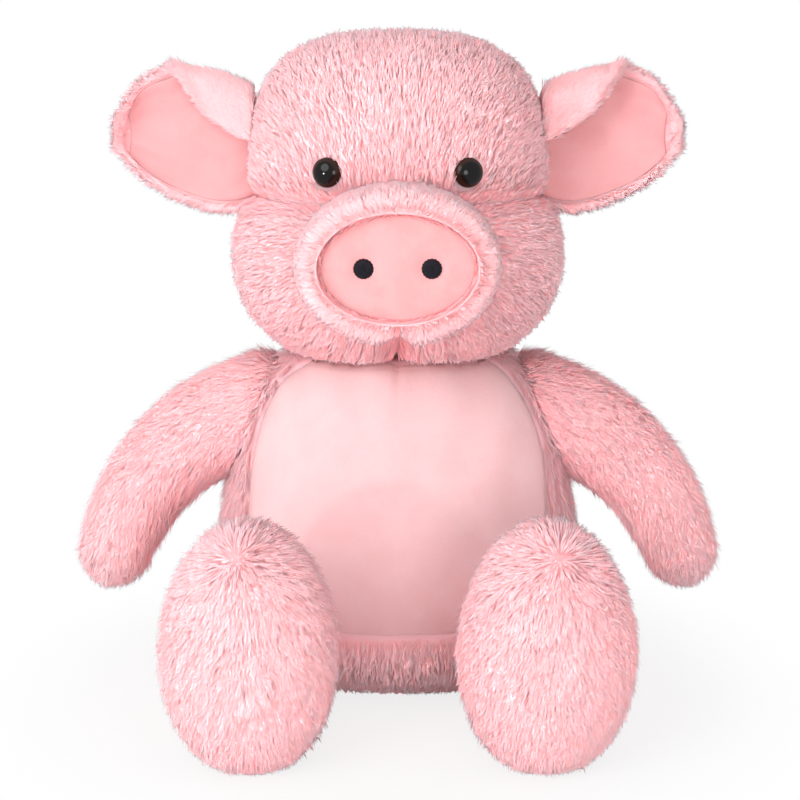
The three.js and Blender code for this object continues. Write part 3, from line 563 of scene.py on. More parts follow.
def spaced(line, count):
    """The same line with its points spaced evenly along it."""
    along = np.concatenate([[0], np.cumsum(np.linalg.norm(np.diff(line, axis=0), axis=1))])
    wanted = np.linspace(0, along[-1], count)
    return np.stack([np.interp(wanted, along, column) for column in line.T], axis=1)


def full_turn(count):
    """As many angles as the count, evenly round a circle from 0."""
    return np.linspace(0, 2 * math.pi, count, endpoint=False)


def capped(levels):
    """The levels with four more at each end, at the same height, that shrink to the axis."""
    cap = np.linspace(0.02, 1, 5)[:-1, None]
    first = np.hstack([np.full_like(cap, levels[0, 0]), cap * levels[0, 1:]])
    last = np.hstack([np.full_like(cap, levels[-1, 0]), cap[::-1] * levels[-1, 1:]])
    return np.vstack([first, levels, last])


class Levels:
    """A form of level ovals, one above the other.

    At height z its half width is w(z) and its half depth d(z), read from a smooth curve through
    the shares, and its section is the superellipse |x / w|^s + |y / d|^s = 1.
    """

    def __init__(self, shares, centre, height, width, depth):
        self.shares, self.centre = shares, np.asarray(centre, float)
        self.height, self.width, self.depth = height, width, depth
        self.curve = smooth_line(shares) * (height, width / 2, depth / 2)

    def grown(self, more, down=None, up=None):
        """The same form, larger all round by an amount, or by others at its base and top."""
        down = more if down is None else down
        up = more if up is None else up
        centre = self.centre - (0, 0, down)
        sizes = self.height + up + down, self.width + 2 * more, self.depth + 2 * more
        return Levels(self.shares, centre, *sizes)

    def halves(self, z):
        """Half the width and half the depth at a height."""
        rise = z - self.centre[2]
        heights, widths, depths = self.curve.T
        inside = (rise >= 0) & (rise <= self.height)
        wide = np.where(inside, np.interp(rise, heights, widths), 1e-6)
        return wide, np.where(inside, np.interp(rise, heights, depths), 1e-6)

    def reach(self, points):
        """How far out points lie: below 1 is inside the form."""
        wide, deep = self.halves(points[..., 2])
        offset = np.abs(points - self.centre)
        with np.errstate(over="ignore"):
            inner = (offset[..., 0] / wide) ** SQUARENESS
            return inner + (offset[..., 1] / deep) ** SQUARENESS

    def front(self, x, z):
        """The point of the form's front at a distance x from its middle and a height z."""
        wide, deep = self.halves(z)
        slope = np.clip(1 - np.abs((x - self.centre[0]) / wide) ** SQUARENESS, 0, 1)
        y = self.centre[1] - deep * slope ** (1 / SQUARENESS)
        return np.stack(np.broadcast_arrays(x, y, z), axis=-1)

    def grid(self, rows, around):
        """Rows of points, level by level from the base, closed by rows that shrink to the axis."""
        levels = capped(spaced(self.curve, rows))
        turn = full_turn(around)
        bend = lambda c: np.sign(c) * np.abs(c) ** (2 / SQUARENESS)
        x = levels[:, 1:2] * bend(np.cos(turn))
        y = levels[:, 2:3] * bend(np.sin(turn))
        z = np.broadcast_to(levels[:, :1], x.shape)
        return np.stack([x, y, z], axis=-1) + self.centre


def facing_grid(shares, centre, reach, width, tall, rows, around, closed=True):
    """Ovals that face the front: row by row from the back, closed by rows that shrink inwards.

    A row at share t of the reach is an ellipse of the width and height shares there.
    """
    levels = spaced(smooth_line(shares) * (reach, width / 2, tall / 2), rows)
    levels = capped(levels) if closed else levels
    turn = full_turn(around)
    x = levels[:, 1:2] * np.cos(turn)
    z = levels[:, 2:3] * np.sin(turn)
    y = np.broadcast_to(-levels[:, :1], x.shape)
    return np.stack([x, y, z], axis=-1) + np.asarray(centre, float)


def tube_grid(line, radii, around, flat=AHEAD):
    """Rings round a line: each lies across the line's heading, with its radius there."""
    heading = unit(np.gradient(line, axis=0))
    first = unit(flat - heading * (heading @ flat)[:, None])[:, None]
    second = np.cross(heading, first[:, 0])[:, None]
    turn = full_turn(around)[None, :, None]
    spoke = first * np.cos(turn) + second * np.sin(turn)
    return line[:, None] + spoke * np.asarray(radii)[:, None, None]


def unit(vectors):
    """The same vectors, each of length 1."""
    return vectors / np.maximum(np.linalg.norm(vectors, axis=-1, keepdims=True), 1e-9)


def across(vectors, normals):
    """What of each vector lies along the surface, as a direction."""
    along = vectors - normals * np.sum(vectors * normals, axis=-1, keepdims=True)
    return unit(along)


def mirrored(grid):
    """The same grid on the toy's other side, with its rows turned to face outwards."""
    return (grid * (-1, 1, 1))[:, ::-1]


# Meshes


def closed_faces(rows, around):
    """Quads between rows that close round, and fans of triangles on the first and last rows."""
    cell = np.arange((rows - 1) * around)
    after = cell - cell % around + (cell + 1) % around
    quads = np.stack([cell, after, after + around, cell + around], axis=1)
    edge = np.arange(around)
    past = (edge + 1) % around
    last = (rows - 1) * around
    low = np.stack([np.full(around, rows * around), past, edge], axis=1)
    high = np.stack([np.full(around, rows * around + 1), edge + last, past + last], axis=1)
    return quads, np.vstack([low, high])


def as_triangles(quads, triangles):
    """All faces as triangles, each quad split in two."""
    return np.vstack([quads[:, [0, 1, 2]], quads[:, [0, 2, 3]], triangles])


def facing_out(points, quads, triangles):
    """The skin with its faces turned to look outwards, if their signed volume is below 0."""
    a, b, c = points[as_triangles(quads, triangles).T]
    if np.sum(a * np.cross(b, c)) < 0:
        quads, triangles = quads[:, ::-1], triangles[:, ::-1]
    return points, quads, triangles


def closed_skin(grid):
    """A closed skin over a grid whose rows close round: its points, quads and triangles."""
    points = np.vstack([grid.reshape(-1, 3), grid[0].mean(0), grid[-1].mean(0)])
    return facing_out(points, *closed_faces(*grid.shape[:2]))


def sheet_skin(front, back):
    """A closed sheet between a front and a back grid, joined round their four edges."""
    rows, columns = front.shape[:2]
    cell = (np.arange(rows - 1)[:, None] * columns + np.arange(columns - 1)).ravel()
    face = np.stack([cell, cell + 1, cell + columns + 1, cell + columns], axis=1)
    rim = np.concatenate([
        np.arange(columns),
        np.arange(2, rows + 1) * columns - 1,
        rows * columns - 2 - np.arange(columns - 1),
        np.arange(rows - 2, 0, -1) * columns,
    ])
    beyond = np.roll(rim, -1)
    shift = rows * columns
    edge = np.stack([rim + shift, beyond + shift, beyond, rim], axis=1)
    points = np.vstack([front.reshape(-1, 3), back.reshape(-1, 3)])
    quads = np.vstack([face, face[:, ::-1] + shift, edge])
    return facing_out(points, quads, np.empty((0, 3), int))


def new_piece(name, points, quads, triangles, material, uv=None, normals=None):
    """A mesh object of quads and triangles, smooth, with a UV map worked out point by point."""
    mesh = bpy.data.meshes.new(name)
    mesh.vertices.add(len(points))
    mesh.vertices.foreach_set("co", np.ascontiguousarray(points, np.float32).ravel())
    corners = np.concatenate([quads.ravel(), triangles.ravel()]).astype(np.int32)
    sizes = np.concatenate([np.full(len(quads), 4), np.full(len(triangles), 3)])
    mesh.loops.add(len(corners))
    mesh.loops.foreach_set("vertex_index", corners)
    mesh.polygons.add(len(sizes))
    starts = np.concatenate([[0], np.cumsum(sizes)[:-1]]).astype(np.int32)
    mesh.polygons.foreach_set("loop_start", starts)
    mesh.polygons.foreach_set("use_smooth", np.ones(len(sizes), bool))
    mesh.update(calc_edges=True)
    if uv is not None:
        layer = mesh.uv_layers.new(name=BAKE_UV)
        layer.data.foreach_set("uv", np.ascontiguousarray(uv[corners], np.float32).ravel())
    if normals is not None:
        mesh.normals_split_custom_set_from_vertices(normals.astype(np.float32))
    mesh.materials.append(material)
    return in_scene(name, mesh)


def in_scene(name, data):
    """An object of its own for a mesh, a light or a camera."""
    made = bpy.data.objects.new(name, data)
    bpy.context.scene.collection.objects.link(made)
    return made


def grid_uv(rows, columns, extra=0):
    """A UV for each point of a grid, column by column in u and row by row in v."""
    u, v = np.meshgrid(np.linspace(0.01, 0.99, columns), np.linspace(0.01, 0.99, rows))
    return np.vstack([np.stack([u.ravel(), v.ravel()], axis=1), np.full((extra, 2), 0.5)])


def sheet_uv(rows, columns):
    """A UV for each point of a sheet: its front on the map's left half, its back on the right."""
    half = grid_uv(rows, columns) * (0.5, 1)
    return np.vstack([half, half + (0.5, 0)])


# Fur


def scattered(grid, count, chance, wanted=None):
    """Roots strewn over a grid whose rows close round: their places and normals.

    A cell is drawn with a chance in proportion to its area, up to twice as high where it faces
    the front, and the root lies at a random place in it. The normal is the cross product of the
    two edge directions there. Three roots are drawn for each one that may be kept, and the
    first ones that are wanted are kept, up to the count.
    """
    after = np.roll(grid, -1, axis=1)
    a, b, c, d = grid[:-1], after[:-1], after[1:], grid[1:]
    facing = np.cross(c - a, d - b)
    inwards = np.sum(facing * ((a + c) / 2 - grid.mean((0, 1)))) < 0
    facing = (-facing if inwards else facing).reshape(-1, 3)
    area = np.linalg.norm(facing, axis=-1)
    weight = area + np.maximum(0, -facing[:, 1])
    drawn = count * 3
    cell = chance.choice(weight.size, drawn, p=weight / weight.sum())
    s, t = chance.random((2, drawn, 1))
    a, b, c, d = (corner.reshape(-1, 3)[cell] for corner in (a, b, c, d))
    places = a * (1 - s) * (1 - t) + b * s * (1 - t) + c * s * t + d * (1 - s) * t
    normals = unit(np.cross((b - a) * (1 - t) + (c - d) * t, (d - a) * (1 - s) + (c - b) * s))
    normals = -normals if inwards else normals
    if wanted is not None:
        keep = wanted(places)
        places, normals = places[keep], normals[keep]
    return places[:count], normals[:count]


def nearest(places, centres, block=4000):
    """The index of the nearest centre to each place."""
    found = np.empty(len(places), int)
    places, centres = places.astype(np.float32), centres.astype(np.float32)
    squares = np.sum(centres**2, axis=1)
    for start in range(0, len(places), block):
        some = places[start:start + block]
        found[start:start + block] = np.argmin(squares - 2 * some @ centres.T, axis=1)
    return found


def locks(places, normals, flow, chance, size=1.0, width=1.0, tint=0.5, lift=0.0, avoid=None):
    """Locks of fur, each a closed flat spindle of six triangles.

    A lock leaves the surface at the lift and leans the way that the fur flows. Its tip is drawn
    towards the tip of the nearest clump's middle. It is a point at the root, a flat three-sided
    ring a little past half its length, raised from the straight line, and a point at the tip.
    A lock is left out where its tip or its ring is to be avoided. u is the lock's tint, with
    painted shade in creases and painted light in shaded places in it, and v runs from 0 at the
    root to 1 at the tip. Its shading normals lie between its own sides' and the surface's.
    """
    fur = settings("pig_fur")
    count = len(places)
    ahead = across(flow, normals)
    side = np.cross(normals, ahead)
    stray = chance.normal(0, fur.spread, (count, 1))
    heading = ahead * np.cos(stray) + side * np.sin(stray)
    rise = np.clip(fur.lift + lift + chance.normal(0, LIFT_SPREAD, count), 0.04, 1.5)[:, None]
    stretch = fur.pile * size * chance.uniform(*LENGTHS, (count, 1))
    lean = stretch * (heading * np.cos(rise) + normals * np.sin(rise))
    centres = chance.choice(count, max(1, count // LOCKS_PER_CLUMP), replace=False)
    own = centres[nearest(places, places[centres])]
    pull = fur.clump * chance.uniform(*PULLS, (count, 1))
    tips = places + lean + (places[own] + lean[own] - places - lean) * pull
    middles = places + (tips - places) * RING_ALONG + normals * stretch * RING_RAISED
    kept = np.ones(count, bool) if avoid is None else ~(avoid(tips) | avoid(middles))
    places, normals, tips, middles = places[kept], normals[kept], tips[kept], middles[kept]
    tint = np.broadcast_to(tint, count)[kept]
    count = len(places)
    broad = fur.lock * width * chance.uniform(*WIDTHS, (count, 1))
    along = unit(tips - places)
    wide = unit(np.cross(along, normals))
    thick = np.cross(wide, along)
    spokes = np.array([[1.0, -0.18], [-1.0, -0.18], [0.0, 0.36]])
    spoke = wide[:, None] * spokes[None, :, :1] + thick[:, None] * spokes[None, :, 1:]
    ring = middles[:, None] + spoke * broad[:, None]
    points = np.concatenate([places[:, None], ring, tips[:, None]], axis=1)
    patch = np.sin(places @ np.array([[61, 23], [-17, 71], [53, -37]])).sum(1) * 0.05
    shade = np.clip(tint + patch + chance.normal(0, TINT_SPREAD, count), 0.02, 0.95)
    u = shade[:, None] + np.array([0.01, 0, 0.02, 0.01, 0.01])
    v = np.broadcast_to(np.array([0.02, RING_ALONG, RING_ALONG, RING_ALONG + 0.01, 0.99]), u.shape)
    face = np.array([[0, 1, 2], [0, 2, 3], [0, 3, 1], [4, 2, 1], [4, 3, 2], [4, 1, 3]])
    faces = (np.arange(count)[:, None, None] * 5 + face).reshape(-1, 3)
    corner = points.reshape(-1, 3)[faces[:6]]
    shifted = corner - corner.mean((0, 1))
    sign = np.sum(shifted[:, 0] * np.cross(shifted[:, 1], shifted[:, 2]))
    faces = faces[:, ::-1] if sign < 0 else faces
    turned = np.array([[0.0, 1.0], [0.8, 0.1], [-0.8, 0.1], [0.0, 1.0], [0.0, 1.0]])
    own = wide[:, None] * turned[None, :, :1] + thick[:, None] * turned[None, :, 1:]
    soft = own * FIRMNESS + normals[:, None]
    return {
        "points": points.reshape(-1, 3),
        "faces": faces,
        "uv": np.stack([u, v], axis=-1).reshape(-1, 2),
        "normals": unit(soft).reshape(-1, 3),
    }


def furry(name, grid, hair):
    """One piece of a backing skin and of locks of fur, none below the floor."""
    skin, quads, triangles = closed_skin(grid)
    corner = np.arange(len(skin))[:, None]
    plain = np.hstack([0.55 + (corner % 3) * 0.02, 0.45 + (corner % 2) * 0.02])
    points = np.vstack([skin, hair["points"]])
    points[:, 2] = np.maximum(points[:, 2], FLOOR_GAP)
    return new_piece(
        name,
        points,
        quads,
        np.vstack([triangles, hair["faces"] + len(skin)]),
        made_material("fur", fur_material),
        uv=np.vstack([plain, hair["uv"]]),
        normals=np.vstack([smooth_normals(skin, quads, triangles), hair["normals"]]),
    )


def smooth_normals(points, quads, triangles):
    """Each point's normal: the sum of its faces' normals, each as long as its face is large."""
    found = np.zeros_like(points)
    split = as_triangles(quads, triangles)
    a, b, c = points[split.T]
    face = np.cross(b - a, c - a)
    for k in range(3):
        np.add.at(found, split[:, k], face)
    return unit(found)


# The toy's forms


def torso_form():
    """The torso, from the floor to the neck."""
    body = settings("pig_body")
    return Levels(TORSO_SHARES, (0, AXIS_Y, 0), body.height, body.width, body.depth)


def cheeks_form():
    """The lower half of the head, from the chin to the brow seam."""
    head = settings("pig_head")
    centre = NECK + (0, -head.forward, head.gap)
    return Levels(CHEEKS_SHARES, centre, head.cheeks_height, head.cheeks_width, head.cheeks_depth)


def crown_form():
    """The upper half of the head, from a little below the brow seam to the top."""
    head = settings("pig_head")
    centre = NECK + (0, -head.forward, head.gap + head.cheeks_height - head.brow_tuck)
    sizes = head.crown_height + head.brow_tuck, head.crown_width, head.crown_depth
    return Levels(CROWN_SHARES, centre, *sizes)


def muzzle_middle():
    """The middle of the muzzle's front."""
    head = settings("pig_head")
    front = head.forward + head.cheeks_depth / 2 + head.muzzle_reach
    return NECK + (0, -front, head.gap + head.muzzle_rise)


def foot_middle():
    """The middle of the left foot."""
    limb = settings("pig_limb")
    z = limb.foot_tall / 2 - limb.heel_flat
    return np.array([limb.foot_spacing / 2, AXIS_Y - limb.foot_forward, z])


def arm_line(count=40):
    """The left arm's middle line: a quadratic curve from shoulder to tip, bowed outwards.

    Its third point stands off the chord's middle by twice the bow, square to the chord.
    """
    limb = settings("pig_limb")
    start = PIVOTS["shoulder_left"]
    end = start + (limb.arm_reach, -limb.arm_forward, -limb.arm_drop)
    outward = unit(np.array([limb.arm_drop, 0, limb.arm_reach]))
    knee = (start + end) / 2 + outward * 2 * limb.arm_bow
    t = np.linspace(0, 1, 200)[:, None]
    return spaced(start * (1 - t) ** 2 + knee * 2 * t * (1 - t) + end * t**2, count)


def fading(distance, width):
    """1 at or below a distance of 0, and falling off above it over a width."""
    return np.exp(-np.maximum(distance, 0) / width)


def off_muzzle(points):
    """How far points lie outside the muzzle's oval, as seen from the front."""
    head, middle = settings("pig_head"), muzzle_middle()
    half = np.array([head.muzzle_width, 2, head.muzzle_tall]) / 2
    gap = np.linalg.norm((points - middle) / half * (1, 0, 1), axis=-1) - 1
    return gap * half[2] + np.maximum(0, points[..., 1] - AXIS_Y)


def belly_rise(body):
    """The height from the belly panel's lower seam to its upper one."""
    return body.height - body.belly_drop - body.belly_seam


def belly_half(z, *beyond):
    """Half the belly panel's width at a height, or other shares given for below and above it."""
    body = settings("pig_body")
    half = smooth_line(BELLY_SHARES)
    level = (z - body.belly_seam) / belly_rise(body)
    return np.interp(level, half[:, 0], half[:, 1], *beyond) * body.belly_width / 2


def in_belly(points, less=0.0):
    """Whether points lie in front of the torso's axis and inside the belly panel's outline."""
    wide = belly_half(points[..., 2], 0, 0) - less
    return (points[..., 1] < AXIS_Y) & (np.abs(points[..., 0]) < wide)


# Pieces


class PigOperator:
    """What the operators of this toy share."""

    bl_options = {"REGISTER", "UNDO"}


class OBJECT_OT_pig_body(PigOperator, bpy.types.Operator):
    """Makes the torso's fur, round the belly panel and over the back and the seat"""

    bl_idname = "object.pig_body"
    bl_label = "Body fur"
    band_top = 0.034  # of the fur band under the belly, above the floor

    def execute(self, context):
        """Locks that lie down the torso, kept clear of the belly panel and of the head."""
        body, fur = settings("pig_body"), settings("pig_fur")
        chance = np.random.default_rng(11)
        form = torso_form()
        outer = self.shouldered(form.grown(-fur.backing, 0.0, -0.0005).grid(60, 120), form)
        sunk = np.clip(-self.off_belly(outer) / 0.003 - 0.2, 0, 1) * 0.0042
        skin = outer + unit((form.centre - outer) * (1, 1, 0)) * sunk[..., None]
        clear = lambda p: ~in_belly(p, 0.0004) & (p[:, 2] > 0.001)
        places, normals = scattered(outer, MOST_LOCKS["body"], chance, clear)
        flow = np.array([0, 0, -1.0]) + (places - form.centre) * (1.5, 2.0, 0)
        rim = fading(self.off_belly(places), 0.004) * (places[:, 2] > body.belly_seam)
        flow = flow - rim[:, None] * np.sign(places[:, :1]) * ACROSS * 0.6
        head = cheeks_form().grown(0.001)
        avoid = lambda p: in_belly(p, 0.0042) | (head.reach(p) < 1)
        arm = arm_line(12)
        mirror = np.vstack([arm, arm * (-1, 1, 1)])
        gap = np.linalg.norm(places - mirror[nearest(places, mirror)], axis=1)
        hip = PIVOTS["hip_left"]
        leg = np.hypot(np.abs(places[:, 0]) - hip[0], places[:, 2] - hip[2])
        leg = leg - 0.026 + np.maximum(0, places[:, 1] - AXIS_Y)
        band = places[:, 2] < self.band_top
        seam = np.exp(-((places[:, 0] / 0.003) ** 2)) * (places[:, 2] < self.band_top + 0.001)
        # Painted light and shade in the tint: lower near the arms, under the neck, by the legs and
        # along the band's middle seam, for painted shade in those creases, and higher in the band
        # under the belly, painted light where it lies in shade.
        tint = 0.8 - 0.15 * fading(gap - 0.022, 0.004)
        tint -= 0.15 * fading(form.height - places[:, 2], 0.006)
        tint += 0.2 * band - 0.3 * fading(leg, 0.008) - 0.2 * seam
        lift = 0.08 - 0.17 * band
        hair = locks(places, normals, flow, chance, size=1.15, tint=tint, lift=lift, avoid=avoid)
        piece = furry("body_fur", skin, hair)
        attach(piece, "body")
        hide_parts("body_casing")
        return {"FINISHED"}

    @classmethod
    def shouldered(cls, grid, form):
        """The torso pushed out at its sides, 6 mm to meet the arms, and 5 mm at its front band."""
        level = np.exp(-(((grid[..., 2] - form.height + 0.020) / 0.016) ** 2))
        aside = np.clip((np.abs(grid[..., 0]) - 0.03) / 0.025, 0, 1) ** 2
        aside = aside * np.clip(cls.off_belly(grid) / 0.004, 0, 1)
        band = np.exp(-(((grid[..., 2] - 0.017) / 0.011) ** 2)) * (np.abs(grid[..., 0]) < 0.06)
        band = band * np.clip((AXIS_Y - 0.03 - grid[..., 1]) / 0.02, 0, 1)
        outward = unit((grid - form.centre) * (1, 1, 0))
        return grid + outward * (0.006 * level * aside + 0.005 * band)[..., None]

    @staticmethod
    def off_belly(points):
        """How far points lie outside the belly panel's outline, with less than 0 for inside it."""
        wide = belly_half(points[..., 2])
        under = settings("pig_body").belly_seam - points[..., 2]
        off = np.maximum(np.abs(points[..., 0]) - wide, under)
        return off + 10 * np.maximum(0, points[..., 1] - AXIS_Y)


class OBJECT_OT_pig_belly(PigOperator, bpy.types.Operator):
    """Makes the smooth belly panel with its seam"""

    bl_idname = "object.pig_belly"
    bl_label = "Belly panel"

    def execute(self, context):
        """The torso's front inside the panel's outline, swollen in the middle.

        At height share t and width share s the panel lies below the torso's front by the recess,
        less the swell times (1 - s^4)(1 - (2t - 1)^6), and it dives at its edges. Its top runs
        on a little way under the chin.
        """
        body = settings("pig_body")
        form = torso_form()
        rows, columns = 90, 110
        outline = spaced(smooth_line(BELLY_SHARES), rows)
        rise = belly_rise(body)
        t = outline[:, :1]
        s = np.sin(np.linspace(-1, 1, columns) * math.pi / 2)[None, :]
        margin = 0.0030 - 0.0020 * np.clip((t - 0.6) / 0.2, 0, 1)
        x = s * (outline[:, 1:] * body.belly_width / 2 + margin)
        under_chin = 0.003 * np.clip(1 - (x / 0.034) ** 2, 0, 1)
        z = body.belly_seam - 0.001 + t * (rise + 0.002 + under_chin)
        edge = np.minimum((1 - np.abs(s)) * outline[:, 1:] * body.belly_width / 2, t * rise * 2.0)
        dive = np.exp(-edge / 0.0013)
        pucker = np.sin((z + 3 * x) * 2400) * 0.00025 * np.exp(-edge / 0.005)
        swell = body.belly_swell * (1 - s**4) * (1 - (2 * t - 1) ** 6)
        tuck = 0.0010 * np.exp(-((x / 0.0016) ** 2)) * np.exp(-(((1 - t) * rise / 0.018) ** 2))
        wave = 0.0005 * np.sin(x * 260 + 1.2 * np.sin(z * 90)) * np.exp(-((1 - t) * rise / 0.05))
        depth = body.belly_recess - swell + 0.0012 * dive + pucker + tuck + wave
        front = self.offset(form, x, z, depth)
        back = self.offset(form, x, z, np.full_like(depth, body.belly_recess + 0.0050))
        points, quads, triangles = sheet_skin(front, back)
        tone = settings("pig_plush").belly
        material = made_material("belly", plush_material, "belly_plush", tone)
        uv = sheet_uv(rows, columns)
        piece = new_piece("belly_plush", points, quads, triangles, material, uv=uv)
        stitches = 0.6 + 0.4 * np.cos((z + 3 * x) * 1900)
        seam = np.exp(-(((edge - margin - 0.0001) / 0.0006) ** 2)) * stitches
        # Seam and shade: the stitched seam, and painted shade where the panel dives at its edges
        # and in the tuck under the chin.
        folds = 0.2 * dive + 0.75 * seam + 250 * tuck
        add_seam_and_shade(piece, np.concatenate([folds.ravel(), np.full(folds.size, 0.25)]))
        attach(piece, "body")
        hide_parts("belly_panel")
        return {"FINISHED"}

    @staticmethod
    def offset(form, x, z, depth):
        """Points below the form's front by a depth, square to its surface."""
        here = form.front(x, z)
        step = 0.0006
        sideways = form.front(x + step, z) - form.front(x - step, z)
        upwards = form.front(x, z + step) - form.front(x, z - step)
        outward = unit(np.cross(sideways, upwards))
        outward = outward * np.sign(-outward[..., 1:2])
        return here - outward * depth[..., None]


def add_seam_and_shade(piece, values):
    """Stores at each point how far it lies in a dark seam or in the painted shade of a fold or
    recess, from 0 to 1.
    """
    attribute = piece.data.attributes.new("crease", "FLOAT", "POINT")
    attribute.data.foreach_set("value", np.clip(values, 0, 1).astype(np.float32))


class OBJECT_OT_pig_head(PigOperator, bpy.types.Operator):
    """Makes the fur of the crown and of the cheeks"""

    bl_idname = "object.pig_head"
    bl_label = "Head fur"

    def execute(self, context):
        """Two furry forms that meet in the brow seam, with a cleft under the muzzle."""
        fur = settings("pig_fur")
        crown, cheeks = crown_form(), cheeks_form()
        snout = muzzle_middle()
        chance = np.random.default_rng(23)
        skin = self.creased(crown.grown(-fur.backing, 0.0).grid(48, 96), crown)
        seam = cheeks.centre[2] + cheeks.height
        clear = lambda p: p[:, 2] > seam + 0.0002
        places, normals = scattered(skin, MOST_LOCKS["crown"], chance, clear)
        flow = np.cross(normals, ACROSS) + np.array([0, 0.35, -0.1])
        flow = flow + (places - crown.centre) * (4.0, 0, 0)
        # The tint is lowered near the brow seam and round the muzzle: painted shade in those
        # creases.
        tint = 0.66 - 0.25 * fading(places[:, 2] - seam, 0.005)
        tint -= 0.2 * fading(off_muzzle(places), 0.005)
        hair = locks(
            places, normals, flow, chance, size=0.95, tint=tint, lift=0.05, avoid=self.on_eyes
        )
        piece = furry("crown_fur", skin, hair)
        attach(piece, "head")
        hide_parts("head_casing")

        chance = np.random.default_rng(29)
        skin = self.chin(cheeks.grown(-fur.backing, -0.0005, 0.0).grid(48, 104), snout)
        skin = self.creased(skin, crown)
        clear = lambda p: p[:, 2] < seam - 0.0003
        places, normals = scattered(skin, MOST_LOCKS["cheeks"], chance, clear)
        cleft = self.cleft(places, snout)
        flow = unit((places - snout) * (1, 0.2, 1)) + np.array([0, 0.25, -0.35])
        flow += cleft[:, None] * np.sign(places[:, :1]) * ACROSS * 1.5
        # The tint is lowered near the brow seam, round the muzzle, in the mouth's cleft and low on
        # the cheeks: painted shade in creases and under the head.
        tint = 0.62 - 0.22 * fading(seam - places[:, 2], 0.005)
        tint -= 0.2 * fading(off_muzzle(places), 0.006)
        tint -= 0.35 * cleft + 0.12 * fading(places[:, 2] - cheeks.centre[2] - 0.006, 0.008)
        low = lambda p: p[:, 2] < cheeks.centre[2] - 0.0015
        hair = locks(places, normals, flow, chance, tint=tint, avoid=low)
        piece = furry("cheek_fur", skin, hair)
        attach(piece, "head")
        return {"FINISHED"}

    @staticmethod
    def on_eyes(points):
        """Whether points lie in front of an eye or within a narrow ring round it."""
        radius = settings("pig_head").eye / 2
        found = np.zeros(len(points), bool)
        for side in (-1, 1):
            spot, look = eye_seat(side)
            away = points - spot
            depth = away @ look
            ring = np.linalg.norm(away - depth[:, None] * look, axis=1)
            found |= (ring < radius * 0.98) & (depth > -0.003)
        return found

    @staticmethod
    def creased(grid, crown):
        """The skin drawn in at the brow seam: by 1.4 mm there, and gone 6 mm above and below."""
        seam = crown.centre[2] + settings("pig_head").brow_tuck
        depth = 0.0014 * np.exp(-(((grid[..., 2] - seam) / 0.0036) ** 2))
        outward = unit((grid - crown.centre) * (1, 1, 0))
        return grid - outward * depth[..., None]

    @staticmethod
    def cleft(points, snout):
        """How near points lie to the mouth's cleft: 1 in it, 0 from 12 mm aside or above it."""
        front = np.clip((AXIS_Y - points[..., 1]) / 0.04, 0, 1)
        low = np.clip((snout[2] - 0.014 - points[..., 2]) / 0.012, 0, 1)
        return np.exp(-((points[..., 0] / 0.0052) ** 2)) * front * low

    @classmethod
    def chin(cls, grid, snout):
        """The cheeks with the mouth's cleft pressed 6.2 mm back and 2.2 mm up, below the muzzle."""
        return grid + cls.cleft(grid, snout)[..., None] * np.array([0, 0.0062, 0.0022])


def eye_seat(side):
    """Where an eye sits on the crown and the way that it looks, with 1 for the left one."""
    head, crown = settings("pig_head"), crown_form()
    z = NECK[2] + head.gap + head.cheeks_height + head.eye_rise
    x = side * head.eye_spacing / 2
    spot = crown.front(np.array(x), np.array(z))
    edge = crown.front(np.array([x - head.eye / 2, x + head.eye / 2]), np.full(2, z))
    look = unit(np.cross(edge[1] - edge[0], UP))
    return spot - look * head.eye_sink, look


class OBJECT_OT_pig_muzzle(PigOperator, bpy.types.Operator):
    """Makes the furry ring round the snout"""

    bl_idname = "object.pig_muzzle"
    bl_label = "Muzzle fur"

    def execute(self, context):
        """Ovals from inside the head to the muzzle's rounded front, then back into its bore."""
        head, fur = settings("pig_head"), settings("pig_fur")
        chance = np.random.default_rng(31)
        middle = muzzle_middle()
        reach = head.muzzle_reach + head.muzzle_root
        back = middle + (0, reach, 0)
        sizes = head.muzzle_width - 2 * fur.backing, head.muzzle_tall - 2 * fur.backing
        around = 96
        outside = facing_grid(
            MUZZLE_SHARES, back, reach - fur.backing * 0.7, *sizes, 30, around, closed=False
        )
        turn = full_turn(around)
        lip = np.stack([
            head.snout_width / 2 * np.cos(turn), 0 * turn, head.snout_tall / 2 * np.sin(turn)
        ], axis=1)
        front = middle + (0, fur.backing * 0.7, 0)
        steps = np.linspace(0, 1, 7)[1:, None, None]
        rim = outside[-1]
        inner = lip + front + (0, 0.0030, 0)
        bulge = np.sin(steps * math.pi) * np.array([0, -0.0022, 0])
        face = rim * (1 - steps) + inner * steps + bulge
        bore = np.stack([lip * 0.97 + front + (0, 0.0055, 0), lip * 0.2 + front + (0, 0.008, 0)])
        skin = np.concatenate([outside, face, bore])
        pinch = np.exp(-((skin[..., 0] / 0.0045) ** 2))
        pinch *= np.clip((middle[2] - 0.022 - skin[..., 2]) / 0.005, 0, 1)
        skin[..., 2] += 0.0042 * pinch
        cheeks, crown = cheeks_form().grown(-fur.backing), crown_form().grown(-fur.backing)

        def disc_reach(p, less=0.0):
            sideways = (p[:, 0] - middle[0]) ** 2 / (head.snout_width / 2 - less) ** 2
            return sideways + (p[:, 2] - middle[2]) ** 2 / (head.snout_tall / 2 - less) ** 2

        def clear(p):
            return (cheeks.reach(p) > 1) & (crown.reach(p) > 1) & (disc_reach(p) > 1)

        def over_disc(p):
            return (disc_reach(p, 0.0014) < 1) & (p[:, 1] < middle[1] + 0.012)

        places, normals = scattered(skin, MOST_LOCKS["muzzle"], chance, clear)
        flow = unit((places - middle) * (1, 0, 1)) + np.array([0, 0.35, 0])
        look = {"size": 0.86, "width": 0.9, "tint": 0.66, "lift": 0.14}
        hair = locks(places, normals, flow, chance, **look, avoid=over_disc)
        piece = furry("muzzle_fur", skin, hair)
        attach(piece, "head")
        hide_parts("muzzle_ring")
        return {"FINISHED"}


